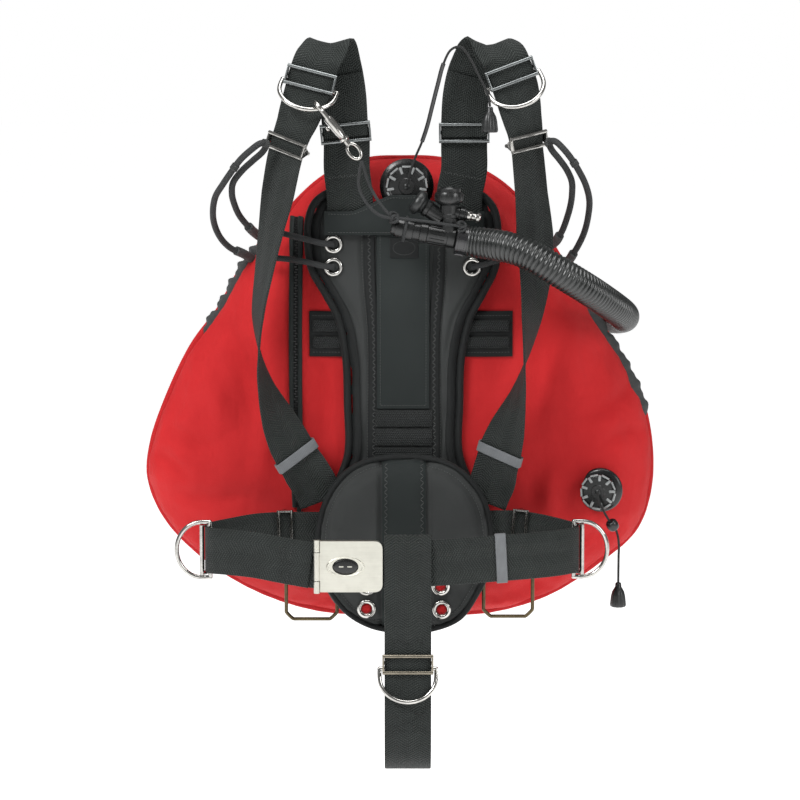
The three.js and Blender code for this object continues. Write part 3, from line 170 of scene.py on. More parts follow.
# ---------------------------------------------------------------- paths
class Route:
    """A smooth path through points, read by its share of the length."""

    DIVISIONS = 200

    def __init__(self, points: Sequence[Point], closed: bool = False) -> None:
        """Keeps the points and measures the path.

        Args:
            points: corners of the path, in metres.
            closed: whether the last corner runs on to the first.
        """
        self.points = [Vector(p[:3]) for p in points]
        self.closed = closed
        self.spans = len(points) if closed else len(points) - 1
        walk = [self.at_parameter(i / self.DIVISIONS) for i in range(self.DIVISIONS + 1)]
        self.lengths = [0.0]
        for before, after in zip(walk, walk[1:]):
            self.lengths.append(self.lengths[-1] + (after - before).length)
        self.length = self.lengths[-1]

    def _corner(self, index: int) -> Vector:
        """The corner at an index, run on past the ends."""
        count = len(self.points)
        if self.closed:
            return self.points[index % count]
        if index < 0:
            return 2 * self.points[0] - self.points[1]
        if index >= count:
            return 2 * self.points[-1] - self.points[-2]
        return self.points[index]

    def at_parameter(self, t: float) -> Vector:
        """The point at a curve parameter from 0 to 1."""
        place = t * self.spans
        index = math.floor(place)
        share = place - index
        if not self.closed and index >= self.spans:
            index, share = self.spans - 1, 1.0
        a, b, c, d = (self._corner(index + k) for k in (-1, 0, 1, 2))
        dt = [max((q - p).length_squared, 1e-12) ** 0.25 for p, q in ((a, b), (b, c), (c, d))]
        out = ((b - a) / dt[0] - (c - a) / (dt[0] + dt[1]) + (c - b) / dt[1]) * dt[1]
        into = ((c - b) / dt[1] - (d - b) / (dt[1] + dt[2]) + (d - c) / dt[2]) * dt[1]
        square = -3 * b + 3 * c - 2 * out - into
        cube = 2 * b - 2 * c + out + into
        return b + out * share + square * share**2 + cube * share**3

    def parameter(self, share: float) -> float:
        """The curve parameter at a share of the length."""
        target = share * self.length
        low, high = 0, self.DIVISIONS
        while high - low > 1:
            middle = (low + high) // 2
            if self.lengths[middle] <= target:
                low = middle
            else:
                high = middle
        step = max(self.lengths[low + 1] - self.lengths[low], 1e-12)
        return (low + (target - self.lengths[low]) / step) / self.DIVISIONS

    def at(self, share: float) -> Vector:
        """The point at a share of the length."""
        return self.at_parameter(self.parameter(share))

    def tangent(self, share: float) -> Vector:
        """The direction at a share of the length."""
        t = self.parameter(share)
        low, high = max(t - 1e-4, 0.0), min(t + 1e-4, 1.0)
        return (self.at_parameter(high) - self.at_parameter(low)).normalized()


@dataclass(frozen=True)
class Station:
    """One slice of a strap: its centre and its own directions."""

    centre: Vector
    tangent: Vector
    width: Vector
    normal: Vector


class StrapRoute:
    """A strap's path with a width direction that turns along it."""

    def __init__(self, points: Sequence[Point], steps: int, across: Vector, swing: Vector) -> None:
        """Keeps the path.

        Args:
            points: corners of the path, each with an optional twist in degrees.
            steps: number of slices that hardware is placed on.
            across: the width's direction where there is no twist.
            swing: the width's direction at a quarter turn of twist.
        """
        self.route = Route(points)
        self.twists = [p[3] if len(p) > 3 else 0.0 for p in points]
        self.steps = steps
        self.across, self.swing = across, swing

    def station(self, share: float) -> Station:
        """The slice at a share of the strap's length."""
        tangent = self.route.tangent(share)
        place = self.route.parameter(share) * (len(self.twists) - 1)
        before = min(int(place), len(self.twists) - 2)
        blend = place - before
        turn = math.radians(self.twists[before] * (1 - blend) + self.twists[before + 1] * blend)
        width = self.across * math.cos(turn) + self.swing * math.sin(turn)
        width = (width - tangent * width.dot(tangent)).normalized()
        return Station(self.route.at(share), tangent, width, tangent.cross(width))

    def nearest(self, point: Point) -> float:
        """The share of the hardware slice nearest a point."""
        target = Vector(point)
        shares = [i / self.steps for i in range(self.steps + 1)]
        return min(shares, key=lambda s: (self.route.at(s) - target).length)

    def frame_at(self, point: Point, facing: Vector) -> Matrix:
        """The strap's own frame near a point: x across, y to the rear, z back along the strap."""
        station = self.station(self.nearest(point))
        up, across = -station.tangent, station.width.copy()
        rear = up.cross(across)
        if rear.dot(facing) > 0:
            rear.negate()
            across.negate()
        return frame_of(across, rear, up, station.centre)


def frame_of(x: Vector, y: Vector, z: Vector, origin: Vector) -> Matrix:
    """A matrix with these axes and this origin."""
    turn = Matrix((x, y, z)).transposed().to_4x4()
    return Matrix.Translation(origin) @ turn


def along(point: Point, direction: Point) -> Matrix:
    """A frame at a point whose z axis is a direction."""
    turn = Vector((0, 0, 1)).rotation_difference(Vector(direction).normalized())
    return Matrix.Translation(Vector(point)) @ turn.to_matrix().to_4x4()


def carried_frames(route: Route, count: int, first: Optional[Vector] = None) -> list[Matrix]:
    """Frames along a path that turn as little as they can; z is the direction of travel.

    Args:
        route: the path.
        count: number of steps.
        first: a direction that the first frame's x axis leans to.

    Returns:
        One frame for each step, and one more.
    """
    tangent = route.tangent(0.0)
    lean = first or (Vector((0, 0, 1)) if abs(tangent.z) < 0.8 else Vector((1, 0, 0)))
    x = (lean - tangent * lean.dot(tangent)).normalized()
    frames = []
    for i in range(count + 1):
        following = route.tangent(i / count)
        x = tangent.rotation_difference(following) @ x
        x = (x - following * x.dot(following)).normalized()
        frames.append(frame_of(x, following.cross(x), following, route.at(i / count)))
        tangent = following
    return frames


# ---------------------------------------------------------------- mesh tools
def finish_mesh(bm: bmesh.types.BMesh, name: str, smooth: bool = True) -> bpy.types.Object:
    """Turns a bmesh into a named object at the origin and adds it to the scene."""
    mesh = bpy.data.meshes.new(name)
    bm.to_mesh(mesh)
    bm.free()
    if smooth:
        mesh.shade_smooth()
    piece = bpy.data.objects.new(name, mesh)
    bpy.context.scene.collection.objects.link(piece)
    return piece


def soften(bm: bmesh.types.BMesh, offset: float, segments: int = 2, angle: float = 0.6) -> None:
    """Bevels every edge that is sharper than an angle."""
    bm.normal_update()
    sharp = [e for e in bm.edges if len(e.link_faces) == 2 and e.calc_face_angle(0.0) > angle]
    bmesh.ops.bevel(bm, geom=sharp, offset=offset, segments=segments, profile=0.5,
                    affect="EDGES", material=-1, clamp_overlap=True)


def close_up(bm: bmesh.types.BMesh, turn_out: bool = True) -> None:
    """Fills open ends and turns the faces outwards."""
    rim = [e for e in bm.edges if e.is_boundary]
    if rim:
        bmesh.ops.holes_fill(bm, edges=rim, sides=0)
    if turn_out:
        bmesh.ops.recalc_face_normals(bm, faces=bm.faces)


def sort_by_angle(bm: bmesh.types.BMesh, name: str, angle: float = 0.7) -> bpy.types.Object:
    """Finishes a hard-edged mesh: smooth but for edges sharper than an angle."""
    piece = finish_mesh(bm, name)
    piece.data.set_sharp_from_angle(angle=angle)
    return piece


class Builder:
    """Makes the basic swept, turned and laid-on shapes."""

    @staticmethod
    def grid(around: int, steps: int, place: Callable[[float, float], Vector],
             size: tuple[float, float], weld: float = 2e-6) -> bmesh.types.BMesh:
        """A grid whose points are moved to where a function says.

        Args:
            around: faces across the grid.
            steps: faces along the grid.
            place: gives the point for two shares from 0 to 1.
            size: the size of the pattern map, across and along.
            weld: points closer than this are joined.

        Returns:
            The mesh, with its pattern map.
        """
        bm = bmesh.new()
        uv = bm.loops.layers.uv.new("UVMap")
        bmesh.ops.create_grid(bm, x_segments=around, y_segments=steps, size=0.5)
        low = [min(v.co[k] for v in bm.verts) for k in (0, 1)]
        high = [max(v.co[k] for v in bm.verts) for k in (0, 1)]
        shares = {v: tuple((v.co[k] - low[k]) / (high[k] - low[k]) for k in (0, 1)) for v in bm.verts}
        for face in bm.faces:
            for loop in face.loops:
                u, w = shares[loop.vert]
                loop[uv].uv = (u * size[0], w * size[1])
        for vert, (u, w) in shares.items():
            vert.co = place(u, w)
        bmesh.ops.remove_doubles(bm, verts=bm.verts, dist=weld)
        return bm

    @classmethod
    def sweep(cls, name: str, frames: Sequence[Matrix], section: Sequence[tuple[float, float]],
              length: float, scale: Optional[Callable[[float], tuple[float, float]]] = None,
              loop: bool = False) -> bpy.types.Object:
        """A closed section carried along frames.

        Args:
            name: the new object's name.
            frames: frames along the path; the section lies in their x and y.
            section: corners of the closed section.
            length: the path's length.
            scale: the section's size in x and y at a share of the length.
            loop: whether the last frame meets the first; not used.

        Returns:
            The new object.
        """
        rounds = [0.0]
        ring = list(section) + [section[0]]
        for (x0, y0), (x1, y1) in zip(ring, ring[1:]):
            rounds.append(rounds[-1] + math.hypot(x1 - x0, y1 - y0))
        count, steps = len(section), len(frames) - 1

        def place(u: float, w: float) -> Vector:
            """One point of the sweep."""
            x, y = ring[round(u * count)]
            sx, sy = scale(w) if scale else (1.0, 1.0)
            return frames[round(w * steps)] @ Vector((x * sx, y * sy, 0))

        bm = cls.grid(count, steps, place, (rounds[-1], length))
        uv = bm.loops.layers.uv.active
        for face in bm.faces:
            for corner in face.loops:
                index = round(corner[uv].uv.x / rounds[-1] * count)
                corner[uv].uv.x = rounds[index]
        close_up(bm)
        return finish_mesh(bm, name)

    @classmethod
    def tube(cls, name: str, route: Route, diameter: float, steps: int, sides: int = 14,
             scale: Optional[Callable[[float], tuple[float, float]]] = None,
             loop: bool = False) -> bpy.types.Object:
        """A round tube along a path."""
        section = [(math.cos(TURN * i / sides) * diameter / 2, math.sin(TURN * i / sides) * diameter / 2)
                   for i in range(sides)]
        frames = carried_frames(route, steps)
        if loop:
            frames[-1] = frames[0]
        return cls.sweep(name, frames, section, route.length, scale, loop)

    @staticmethod
    def turned(profile: Sequence[tuple[float, float]], place: Matrix, segments: int = 48,
               soft: float = 0.0) -> bmesh.types.BMesh:
        """A solid of revolution.

        Args:
            profile: radius and height of each corner, from axis to axis or closed on itself.
            place: the frame whose z is the axis.
            segments: steps of the full turn.
            soft: size of the bevel on its sharp rims, or 0 for none.

        Returns:
            The mesh.
        """
        bm = bmesh.new()
        verts = [bm.verts.new((r, 0, h)) for r, h in profile]
        for a, b in zip(verts, verts[1:]):
            bm.edges.new((a, b))
        bmesh.ops.spin(bm, geom=[*bm.verts, *bm.edges], cent=(0, 0, 0), axis=(0, 0, 1),
                       angle=TURN, steps=segments, use_merge=True, use_duplicate=False)
        bmesh.ops.remove_doubles(bm, verts=bm.verts, dist=1e-6)
        close_up(bm)
        if soft:
            soften(bm, soft)
        bmesh.ops.transform(bm, matrix=place, verts=bm.verts)
        return bm

    @staticmethod
    def box(size: Point, place: Matrix, soft: float = 0.0, segments: int = 2) -> bmesh.types.BMesh:
        """A block with rounded edges."""
        bm = bmesh.new()
        bmesh.ops.create_cube(bm, size=1.0, matrix=Matrix.Diagonal((*size, 1.0)))
        if soft:
            bmesh.ops.bevel(bm, geom=list(bm.edges), offset=soft, segments=segments, profile=0.5,
                            affect="EDGES", material=-1, clamp_overlap=True)
        bmesh.ops.transform(bm, matrix=place, verts=bm.verts)
        return bm

    @staticmethod
    def bar(start: Vector, end: Vector, radius: float, sides: int = 20, soft: float = 0.0
            ) -> bmesh.types.BMesh:
        """A round bar between two points."""
        bm = bmesh.new()
        depth = (end - start).length
        bmesh.ops.create_cone(bm, cap_ends=True, cap_tris=False, segments=sides, radius1=radius,
                              radius2=radius, depth=depth)
        if soft:
            soften(bm, soft)
        bmesh.ops.transform(bm, matrix=along((start + end) / 2, end - start), verts=bm.verts)
        return bm


def joined(parts: Iterable[bmesh.types.BMesh]) -> bmesh.types.BMesh:
    """Several meshes as one."""
    whole = bmesh.new()
    for part in parts:
        shell = bpy.data.meshes.new("part")
        part.to_mesh(shell)
        part.free()
        whole.from_mesh(shell)
        bpy.data.meshes.remove(shell)
    return whole


def ribbon_section(width: float, thickness: float, across: int = 10) -> list[tuple[float, float]]:
    """A strap's section: flat faces, with a rounded selvedge along each side."""
    half, round_ = width / 2, thickness / 2
    inner = half - round_
    front = [(-inner + 2 * inner * i / across, -round_) for i in range(across + 1)]
    right = [(inner + round_ * math.sin(a), -round_ * math.cos(a)) for a in (0.8, 1.57, 2.34)]
    return front + right + [(-x, -y) for x, y in front] + [(-x, -y) for x, y in right]


class Ground:
    """The front surface of some pieces, to lay other pieces on."""

    REACH = 0.6

    def __init__(self, *pieces: bpy.types.Object, rear: bool = False) -> None:
        """Reads the pieces' meshes.

        Args:
            pieces: what the ground is made of.
            rear: whether the rear surface is wanted.
        """
        bm = bmesh.new()
        for piece in pieces:
            bm.from_mesh(piece.data)
        self.tree = BVHTree.FromBMesh(bm)
        bm.free()
        self.side = 1.0 if rear else -1.0

    def y(self, x: float, z: float, fallback: float = 0.05) -> float:
        """The depth of the surface at a place."""
        hit, _, _, _ = self.tree.ray_cast(Vector((x, self.side * self.REACH, z)), Vector((0, -self.side, 0)))
        return hit.y if hit else fallback

    def normal(self, x: float, z: float) -> Vector:
        """The outward direction at a place."""
        step = 0.002
        dx = (self.y(x + step, z) - self.y(x - step, z)) / (2 * step)
        dz = (self.y(x, z + step) - self.y(x, z - step)) / (2 * step)
        return Vector((dx, -1.0, dz)).normalized() * -self.side

    def point(self, x: float, z: float, lift: float = 0.0) -> Vector:
        """A point on the surface, or above it by a lift."""
        return Vector((x, self.y(x, z), z)) + self.normal(x, z) * lift

    def strip(self, name: str, line: Sequence[Point], width: float, thickness: float, lift: float = 0.0,
              closed: bool = False, across: int = 6, pitch: float = 0.004,
              bulge: float = 0.0) -> bpy.types.Object:
        """A flat band that lies on the surface along a line.

        Args:
            name: the new object's name.
            line: corners of the line, in x and z.
            width: the band's width.
            thickness: the band's thickness.
            lift: gap under the band.
            closed: whether the line is a loop.
            across: faces across the band.
            pitch: distance between slices.
            bulge: extra height along the middle.

        Returns:
            The new object.
        """
        route = Route([(x, 0, z) for x, z in line], closed)
        steps = max(2, round(route.length / pitch))
        section = ribbon_section(width, thickness, across)
        frames = []
        for i in range(steps + 1):
            centre, ahead = route.at(i / steps), route.tangent(i / steps)
            side = Vector((ahead.z, 0, -ahead.x))
            frames.append((centre, side))
        ring = section + [section[0]]
        count = len(section)
        half = width / 2

        def place(u: float, w: float) -> Vector:
            """One point of the band."""
            centre, side = frames[round(w * steps)]
            x, y = ring[round(u * count)]
            spot = centre + side * x
            rise = lift + thickness / 2 - y + bulge * max(0.0, 1 - (x / half) ** 2) * (1 if y < 0 else 0)
            return self.point(spot.x, spot.z, rise)

        bm = Builder.grid(count, steps, place, (2 * width, route.length))
        close_up(bm)
        return finish_mesh(bm, name)


class ThreadRow(Enum):
    """How a row of stitches runs."""

    STRAIGHT = 0
    ZIGZAG = 1


def stitch(name: str, spots: Sequence[tuple[Vector, Vector]], pitch: float = 0.0032,
           row: ThreadRow = ThreadRow.STRAIGHT, swing: float = 0.0022, radius: float = 0.00035
           ) -> bpy.types.Object:
    """A row of stitches along spots on a surface.

    Args:
        name: the new object's name.
        spots: points of the seam with the outward direction at each.
        pitch: distance from one stitch to the next.
        row: straight or zigzag.
        swing: half width of a zigzag.
        radius: half the thread's thickness.

    Returns:
        The new object.
    """
    lengths = [0.0]
    for (a, _), (b, _) in zip(spots, spots[1:]):
        lengths.append(lengths[-1] + (b - a).length)
    whole = bmesh.new()
    count = max(1, int(lengths[-1] / pitch))
    index = 0
    for k in range(count):
        middle = (k + 0.5) * lengths[-1] / count
        while lengths[index + 1] < middle:
            index += 1
        share = (middle - lengths[index]) / max(lengths[index + 1] - lengths[index], 1e-9)
        (a, na), (b, nb) = spots[index], spots[index + 1]
        ahead = (b - a).normalized()
        up = na.lerp(nb, share).normalized()
        side = up.cross(ahead).normalized()
        lean = side * swing * (1 if k % 2 else -1) if row is ThreadRow.ZIGZAG else Vector()
        half = ahead * pitch * (0.5 if row is ThreadRow.ZIGZAG else 0.36) + lean
        centre = a.lerp(b, share) + up * radius * 0.4
        made = bmesh.ops.create_icosphere(whole, subdivisions=1, radius=1.0)
        turn = Vector((0, 0, 1)).rotation_difference(half.normalized()).to_matrix().to_4x4()
        size = Matrix.Diagonal((radius, radius, half.length, 1.0))
        bmesh.ops.transform(whole, matrix=Matrix.Translation(centre) @ turn @ size, verts=made["verts"])
    return finish_mesh(whole, name)


# ---------------------------------------------------------------- finishes
Colour = tuple[float, float, float]
Socket = bpy.types.NodeSocket


class PatternMap(Enum):
    """What a pattern follows."""

    PLACE = "Object"
    SURFACE = "UV"


class Shade:
    """A material's node tree, with short ways to add to it."""

    def __init__(self, name: str) -> None:
        """Starts a material with one shader."""
        self.material = bpy.data.materials.new(name)
        self.material.use_nodes = True
        self.tree = self.material.node_tree
        self.shader = next(n for n in self.tree.nodes if n.type == "BSDF_PRINCIPLED")
        self.coordinates = self.tree.nodes.new("ShaderNodeTexCoord")

    def map(self, source: PatternMap, stretch: Point = (1, 1, 1), turn: float = 0.0) -> Socket:
        """Pattern coordinates, stretched and turned."""
        node = self.tree.nodes.new("ShaderNodeMapping")
        node.inputs["Scale"].default_value = stretch
        node.inputs["Rotation"].default_value = (0, 0, turn)
        self.tree.links.new(self.coordinates.outputs[source.value], node.inputs["Vector"])
        return node.outputs["Vector"]

    def parts(self, vector: Socket) -> tuple[Socket, Socket, Socket]:
        """The three numbers of a vector."""
        node = self.tree.nodes.new("ShaderNodeSeparateXYZ")
        self.tree.links.new(vector, node.inputs[0])
        return node.outputs[0], node.outputs[1], node.outputs[2]

    def sum_of(self, operation: str, *values: "Socket | float") -> Socket:
        """A Math node's result."""
        node = self.tree.nodes.new("ShaderNodeMath")
        node.operation = operation
        for slot, value in zip(node.inputs, values):
            if isinstance(value, bpy.types.NodeSocket):
                self.tree.links.new(value, slot)
            else:
                slot.default_value = value
        return node.outputs[0]

    def noise(self, vector: Socket, scale: float, detail: float = 3.0, roughness: float = 0.55) -> Socket:
        """Soft random variation from 0 to 1."""
        node = self.tree.nodes.new("ShaderNodeTexNoise")
        node.inputs["Scale"].default_value = scale
        node.inputs["Detail"].default_value = detail
        node.inputs["Roughness"].default_value = roughness
        self.tree.links.new(vector, node.inputs["Vector"])
        return node.outputs["Fac"]

    def range(self, value: Socket, low: float, high: float, to_low: float = 0.0, to_high: float = 1.0
              ) -> Socket:
        """A value carried from one range to another, and kept inside it."""
        node = self.tree.nodes.new("ShaderNodeMapRange")
        for slot, number in zip(list(node.inputs)[1:5], (low, high, to_low, to_high)):
            slot.default_value = number
        self.tree.links.new(value, node.inputs[0])
        return node.outputs[0]

    def blend(self, amount: Socket, first: Colour, second: Colour) -> Socket:
        """A colour between two."""
        node = self.tree.nodes.new("ShaderNodeMix")
        node.data_type = "RGBA"
        sockets = [s for s in node.inputs if s.type == "RGBA"]
        sockets[0].default_value = (*first, 1)
        sockets[1].default_value = (*second, 1)
        self.tree.links.new(amount, node.inputs[0])
        return next(s for s in node.outputs if s.type == "RGBA")

    def bump(self, height: Socket, distance: float, strength: float = 1.0, under: Optional[Socket] = None
             ) -> Socket:
        """A bumped normal, on top of another one if given."""
        node = self.tree.nodes.new("ShaderNodeBump")
        node.inputs["Strength"].default_value = strength
        node.inputs["Distance"].default_value = distance
        self.tree.links.new(height, node.inputs["Height"])
        if under:
            self.tree.links.new(under, node.inputs["Normal"])
        return node.outputs["Normal"]

    def put(self, socket: str, value: "Socket | float | Colour") -> None:
        """Sets or links one of the shader's sockets."""
        slot = self.shader.inputs[socket]
        if isinstance(value, bpy.types.NodeSocket):
            self.tree.links.new(value, slot)
        elif isinstance(value, tuple):
            slot.default_value = (*value, 1)
        else:
            slot.default_value = value

    def waves(self, value: Socket, period: float) -> Socket:
        """A sine of a length, from -1 to 1."""
        return self.sum_of("SINE", self.sum_of("MULTIPLY", value, TURN / period))


@dataclass(frozen=True)
class ClothFinish:
    """Woven coated cloth: a fine basket weave with painted shade in its hollows, soft creases and uneven
    colour.
    """

    name: str
    slot: str
    colour: Colour
    # the darker colour: the cloth's random darker tone, and the painted shade in the weave's hollows
    darker_tone_and_shade: Colour
    weave: float = 0.0009
    roughness: float = 0.62
    sheen: float = 0.25
    crease: float = 0.0016
    crease_scale: float = 11.0
    shine: float = 0.12

    def make(self) -> bpy.types.Material:
        """Builds the material."""
        s = Shade(self.name)
        place = s.map(PatternMap.PLACE)
        x, y, z = s.parts(place)
        run = s.sum_of("ADD", x, s.sum_of("MULTIPLY", y, 0.7))
        weave = s.sum_of("MULTIPLY", s.waves(s.sum_of("ADD", run, z), self.weave * 1.4),
                         s.waves(s.sum_of("SUBTRACT", run, z), self.weave * 1.4))
        fibre = s.noise(place, 1400.0, 2.0)
        patch = s.noise(place, 9.0, 4.0, 0.6)
        folds = s.noise(s.map(PatternMap.PLACE, (1.0, 1.0, 0.45), 0.5), self.crease_scale, 3.0, 0.5)
        small = s.noise(s.map(PatternMap.PLACE, (1.0, 1.0, 0.6), -0.4), self.crease_scale * 4, 3.0, 0.6)
        # random patches and fibres are the cloth's own uneven tone; the weave term darkens the weave's
        # hollows towards the darker colour, which is painted shade
        tone = s.sum_of("ADD", s.range(patch, 0.3, 0.7, 0.0, 0.45), s.range(weave, -1, 1, 0.28, 0.0))
        tone = s.sum_of("ADD", tone, s.range(fibre, 0.35, 0.65, 0.0, 0.14))
        s.put("Base Color", s.blend(tone, self.colour, self.darker_tone_and_shade))
        s.put("Roughness", s.range(patch, 0.3, 0.7, self.roughness - 0.06, self.roughness + 0.08))
        s.put("Sheen Weight", self.sheen)
        s.put("Sheen Roughness", 0.45)
        s.put("Specular IOR Level", self.shine)
        first = s.bump(folds, self.crease * 8, 0.6)
        second = s.bump(small, self.crease, 0.5, first)
        third = s.bump(weave, self.weave * 0.16, 0.7, second)
        s.put("Normal", s.bump(fibre, 0.00008, 0.5, third))
        return s.material


@dataclass(frozen=True)
class WebbingFinish:
    """Heavy webbing: chevron ribs across it, cords along it, and high threads painted lighter as a painted
    highlight, made uneven by wear.
    """

    name: str
    slot: str
    colour: Colour
    # the lighter colour of the raised threads: a painted highlight
    high: Colour
    rib: float = 0.0029
    cord: float = 0.0022
    width: float = 0.050
    slope: float = 0.9
    roughness: float = 0.58

    def make(self) -> bpy.types.Material:
        """Builds the material."""
        s = Shade(self.name)
        surface = s.map(PatternMap.SURFACE)
        u, v, _ = s.parts(surface)
        quarter = s.sum_of("PINGPONG", u, self.width / 4)
        chevron = s.waves(s.sum_of("ADD", v, s.sum_of("MULTIPLY", quarter, self.slope)), self.rib)
        ribs = s.waves(u, self.cord)
        cross = s.sum_of("MULTIPLY", chevron, ribs)
        height = s.sum_of("ADD", s.sum_of("MULTIPLY", chevron, 0.65), s.sum_of("MULTIPLY", ribs, 0.35))
        fuzz = s.noise(surface, 1500.0, 2.0)
        wear = s.noise(surface, 34.0, 4.0, 0.65)
        # raised threads are painted lighter towards the high colour, a painted highlight; the wear and fuzz
        # noise make it uneven at random
        tone = s.range(s.sum_of("ADD", height, s.sum_of("MULTIPLY", cross, 0.4)), -1.2, 1.2, 0.0, 0.75)
        tone = s.sum_of("MULTIPLY", tone, s.range(wear, 0.25, 0.75, 0.55, 1.25))
        tone = s.sum_of("ADD", tone, s.range(fuzz, 0.35, 0.65, 0.0, 0.15))
        s.put("Base Color", s.blend(tone, self.colour, self.high))
        s.put("Roughness", s.range(wear, 0.3, 0.7, self.roughness - 0.08, self.roughness + 0.1))
        s.put("Sheen Weight", 0.04)
        s.put("Sheen Roughness", 0.4)
        s.put("Specular IOR Level", 0.14)
        lower = s.bump(height, 0.0006, 1.0)
        s.put("Normal", s.bump(fuzz, 0.00012, 0.6, lower))
        return s.material


@dataclass(frozen=True)
class BraidFinish:
    """Round braided cord: strands that cross in two spirals, their crowns painted lighter as a painted
    highlight.
    """

    name: str
    slot: str
    colour: Colour
    # the lighter colour of the strand crowns: a painted highlight
    high: Colour
    strands: float = 6.0
    round_length: float = 0.022
    pitch: float = 0.006

    def make(self) -> bpy.types.Material:
        """Builds the material."""
        s = Shade(self.name)
        surface = s.map(PatternMap.SURFACE)
        u, v, _ = s.parts(surface)
        spiral = s.sum_of("MULTIPLY", u, self.strands / self.round_length)
        rise = s.sum_of("DIVIDE", v, self.pitch)
        one = s.waves(s.sum_of("ADD", spiral, rise), 1.0)
        two = s.waves(s.sum_of("SUBTRACT", spiral, rise), 1.0)
        height = s.sum_of("ABSOLUTE", s.sum_of("MULTIPLY", one, two))
        fuzz = s.noise(surface, 1800.0, 2.0)
        # strand crowns are painted lighter towards the high colour, a painted highlight, with random fuzz
        s.put("Base Color", s.blend(s.sum_of("ADD", s.sum_of("MULTIPLY", height, 0.7),
                                             s.range(fuzz, 0.3, 0.7, 0.0, 0.3)), self.colour, self.high))
        s.put("Roughness", s.range(fuzz, 0.3, 0.7, 0.55, 0.75))
        s.put("Sheen Weight", 0.03)
        s.put("Specular IOR Level", 0.2)
        s.put("Normal", s.bump(height, 0.0004, 0.9))
        return s.material


@dataclass(frozen=True)
class MetalFinish:
    """Stainless or bronze: fine scratches, smears and an uneven polish."""

    name: str
    slot: str
    colour: Colour
    dull: Colour
    roughness: float = 0.16
    grain: Point = (1, 1, 1)
    grain_scale: float = 260.0
    grain_depth: float = 0.00003

    def make(self) -> bpy.types.Material:
        """Builds the material."""
        s = Shade(self.name)
        place = s.map(PatternMap.PLACE)
        grain = s.noise(s.map(PatternMap.PLACE, self.grain), self.grain_scale, 4.0, 0.7)
        smear = s.noise(place, 60.0, 4.0, 0.6)
        tone = s.sum_of("ADD", s.range(smear, 0.4, 0.75, 0.0, 0.6), s.range(grain, 0.4, 0.7, 0.0, 0.3))
        s.put("Base Color", s.blend(tone, self.colour, self.dull))
        s.put("Metallic", 1.0)
        s.put("Roughness", s.sum_of("ADD", s.range(smear, 0.3, 0.7, self.roughness, self.roughness + 0.12),
                                    s.range(grain, 0.3, 0.7, -0.03, 0.08)))
        s.put("Normal", s.bump(grain, self.grain_depth, 0.6))
        return s.material


@dataclass(frozen=True)
class MouldedFinish:
    """Moulded plastic or rubber: a fine cast texture, handling marks and patches of pale dust."""

    name: str
    slot: str
    colour: Colour
    dusty: Colour
    roughness: float = 0.38
    texture: float = 900.0
    depth: float = 0.00006
    coat: float = 0.0

    def make(self) -> bpy.types.Material:
        """Builds the material."""
        s = Shade(self.name)
        place = s.map(PatternMap.PLACE)
        cast = s.noise(place, self.texture, 2.0)
        marks = s.noise(place, 45.0, 5.0, 0.65)
        s.put("Base Color", s.blend(s.range(marks, 0.45, 0.8, 0.0, 0.6), self.colour, self.dusty))
        s.put("Roughness",
              s.sum_of("ADD", s.range(marks, 0.3, 0.7, self.roughness - 0.05, self.roughness + 0.1),
                                    s.range(cast, 0.3, 0.7, -0.03, 0.05)))
        s.put("Specular IOR Level", 0.5)
        s.put("Coat Weight", self.coat)
        s.put("Coat Roughness", 0.2)
        lower = s.bump(marks, 0.0004, 0.25)
        s.put("Normal", s.bump(cast, self.depth, 0.6, lower))
        return s.material


@dataclass(frozen=True)
class ElasticFinish:
    """Elastic tape: close ribs across it with their tops painted lighter as a painted highlight, and a satin
    shine.
    """

    name: str
    slot: str
    colour: Colour
    # the lighter colour of the rib tops: a painted highlight
    high: Colour
    rib: float = 0.0013

    def make(self) -> bpy.types.Material:
        """Builds the material."""
        s = Shade(self.name)
        surface = s.map(PatternMap.SURFACE)
        u, v, _ = s.parts(surface)
        ribs = s.waves(u, self.rib)
        picks = s.waves(v, self.rib * 0.55)
        height = s.sum_of("ADD", s.sum_of("MULTIPLY", ribs, 0.7), s.sum_of("MULTIPLY", picks, 0.3))
        wear = s.noise(surface, 60.0, 3.0)
        # rib tops are painted lighter towards the high colour, a painted highlight, made uneven by the random
        # wear noise
        tone = s.sum_of("MULTIPLY", s.range(height, -1, 1), s.range(wear, 0.3, 0.7, 0.6, 1.1))
        s.put("Base Color", s.blend(tone, self.colour, self.high))
        s.put("Roughness", s.range(wear, 0.3, 0.7, 0.42, 0.58))
        s.put("Sheen Weight", 0.05)
        s.put("Normal", s.bump(height, 0.00025, 0.8))
        return s.material


Finish = ClothFinish | WebbingFinish | BraidFinish | MetalFinish | MouldedFinish | ElasticFinish

# In each cloth the second colour is the darker random tone and the painted shade of the weave's hollows.
RED_CLOTH = ClothFinish("red_nylon", "red_nylon", (0.55, 0.020, 0.022), (0.34, 0.009, 0.011),
                        roughness=0.6, sheen=0.05, crease=0.0048, crease_scale=8.0)
RED_TAPE = ClothFinish("red_binding", "red_nylon", (0.50, 0.017, 0.020), (0.33, 0.009, 0.011), sheen=0.05,
                       crease=0.0006, crease_scale=60.0)
PAD_CLOTH = ClothFinish("pad_ballistic", "pad_cloth", (0.022, 0.025, 0.024), (0.009, 0.010, 0.010),
                        weave=0.0012, roughness=0.48, sheen=0.05, crease=0.0009, shine=0.32)
PANEL_CLOTH = ClothFinish("panel_coated", "panel_cloth", (0.013, 0.018, 0.017), (0.007, 0.009, 0.009),
                          weave=0.0006, roughness=0.44, sheen=0.03, crease=0.0006, shine=0.2)
BINDING = ClothFinish("edge_binding", "pad_cloth", (0.016, 0.017, 0.017), (0.006, 0.007, 0.007),
                      weave=0.0008, roughness=0.5, sheen=0.04, crease=0.0004, crease_scale=50.0)
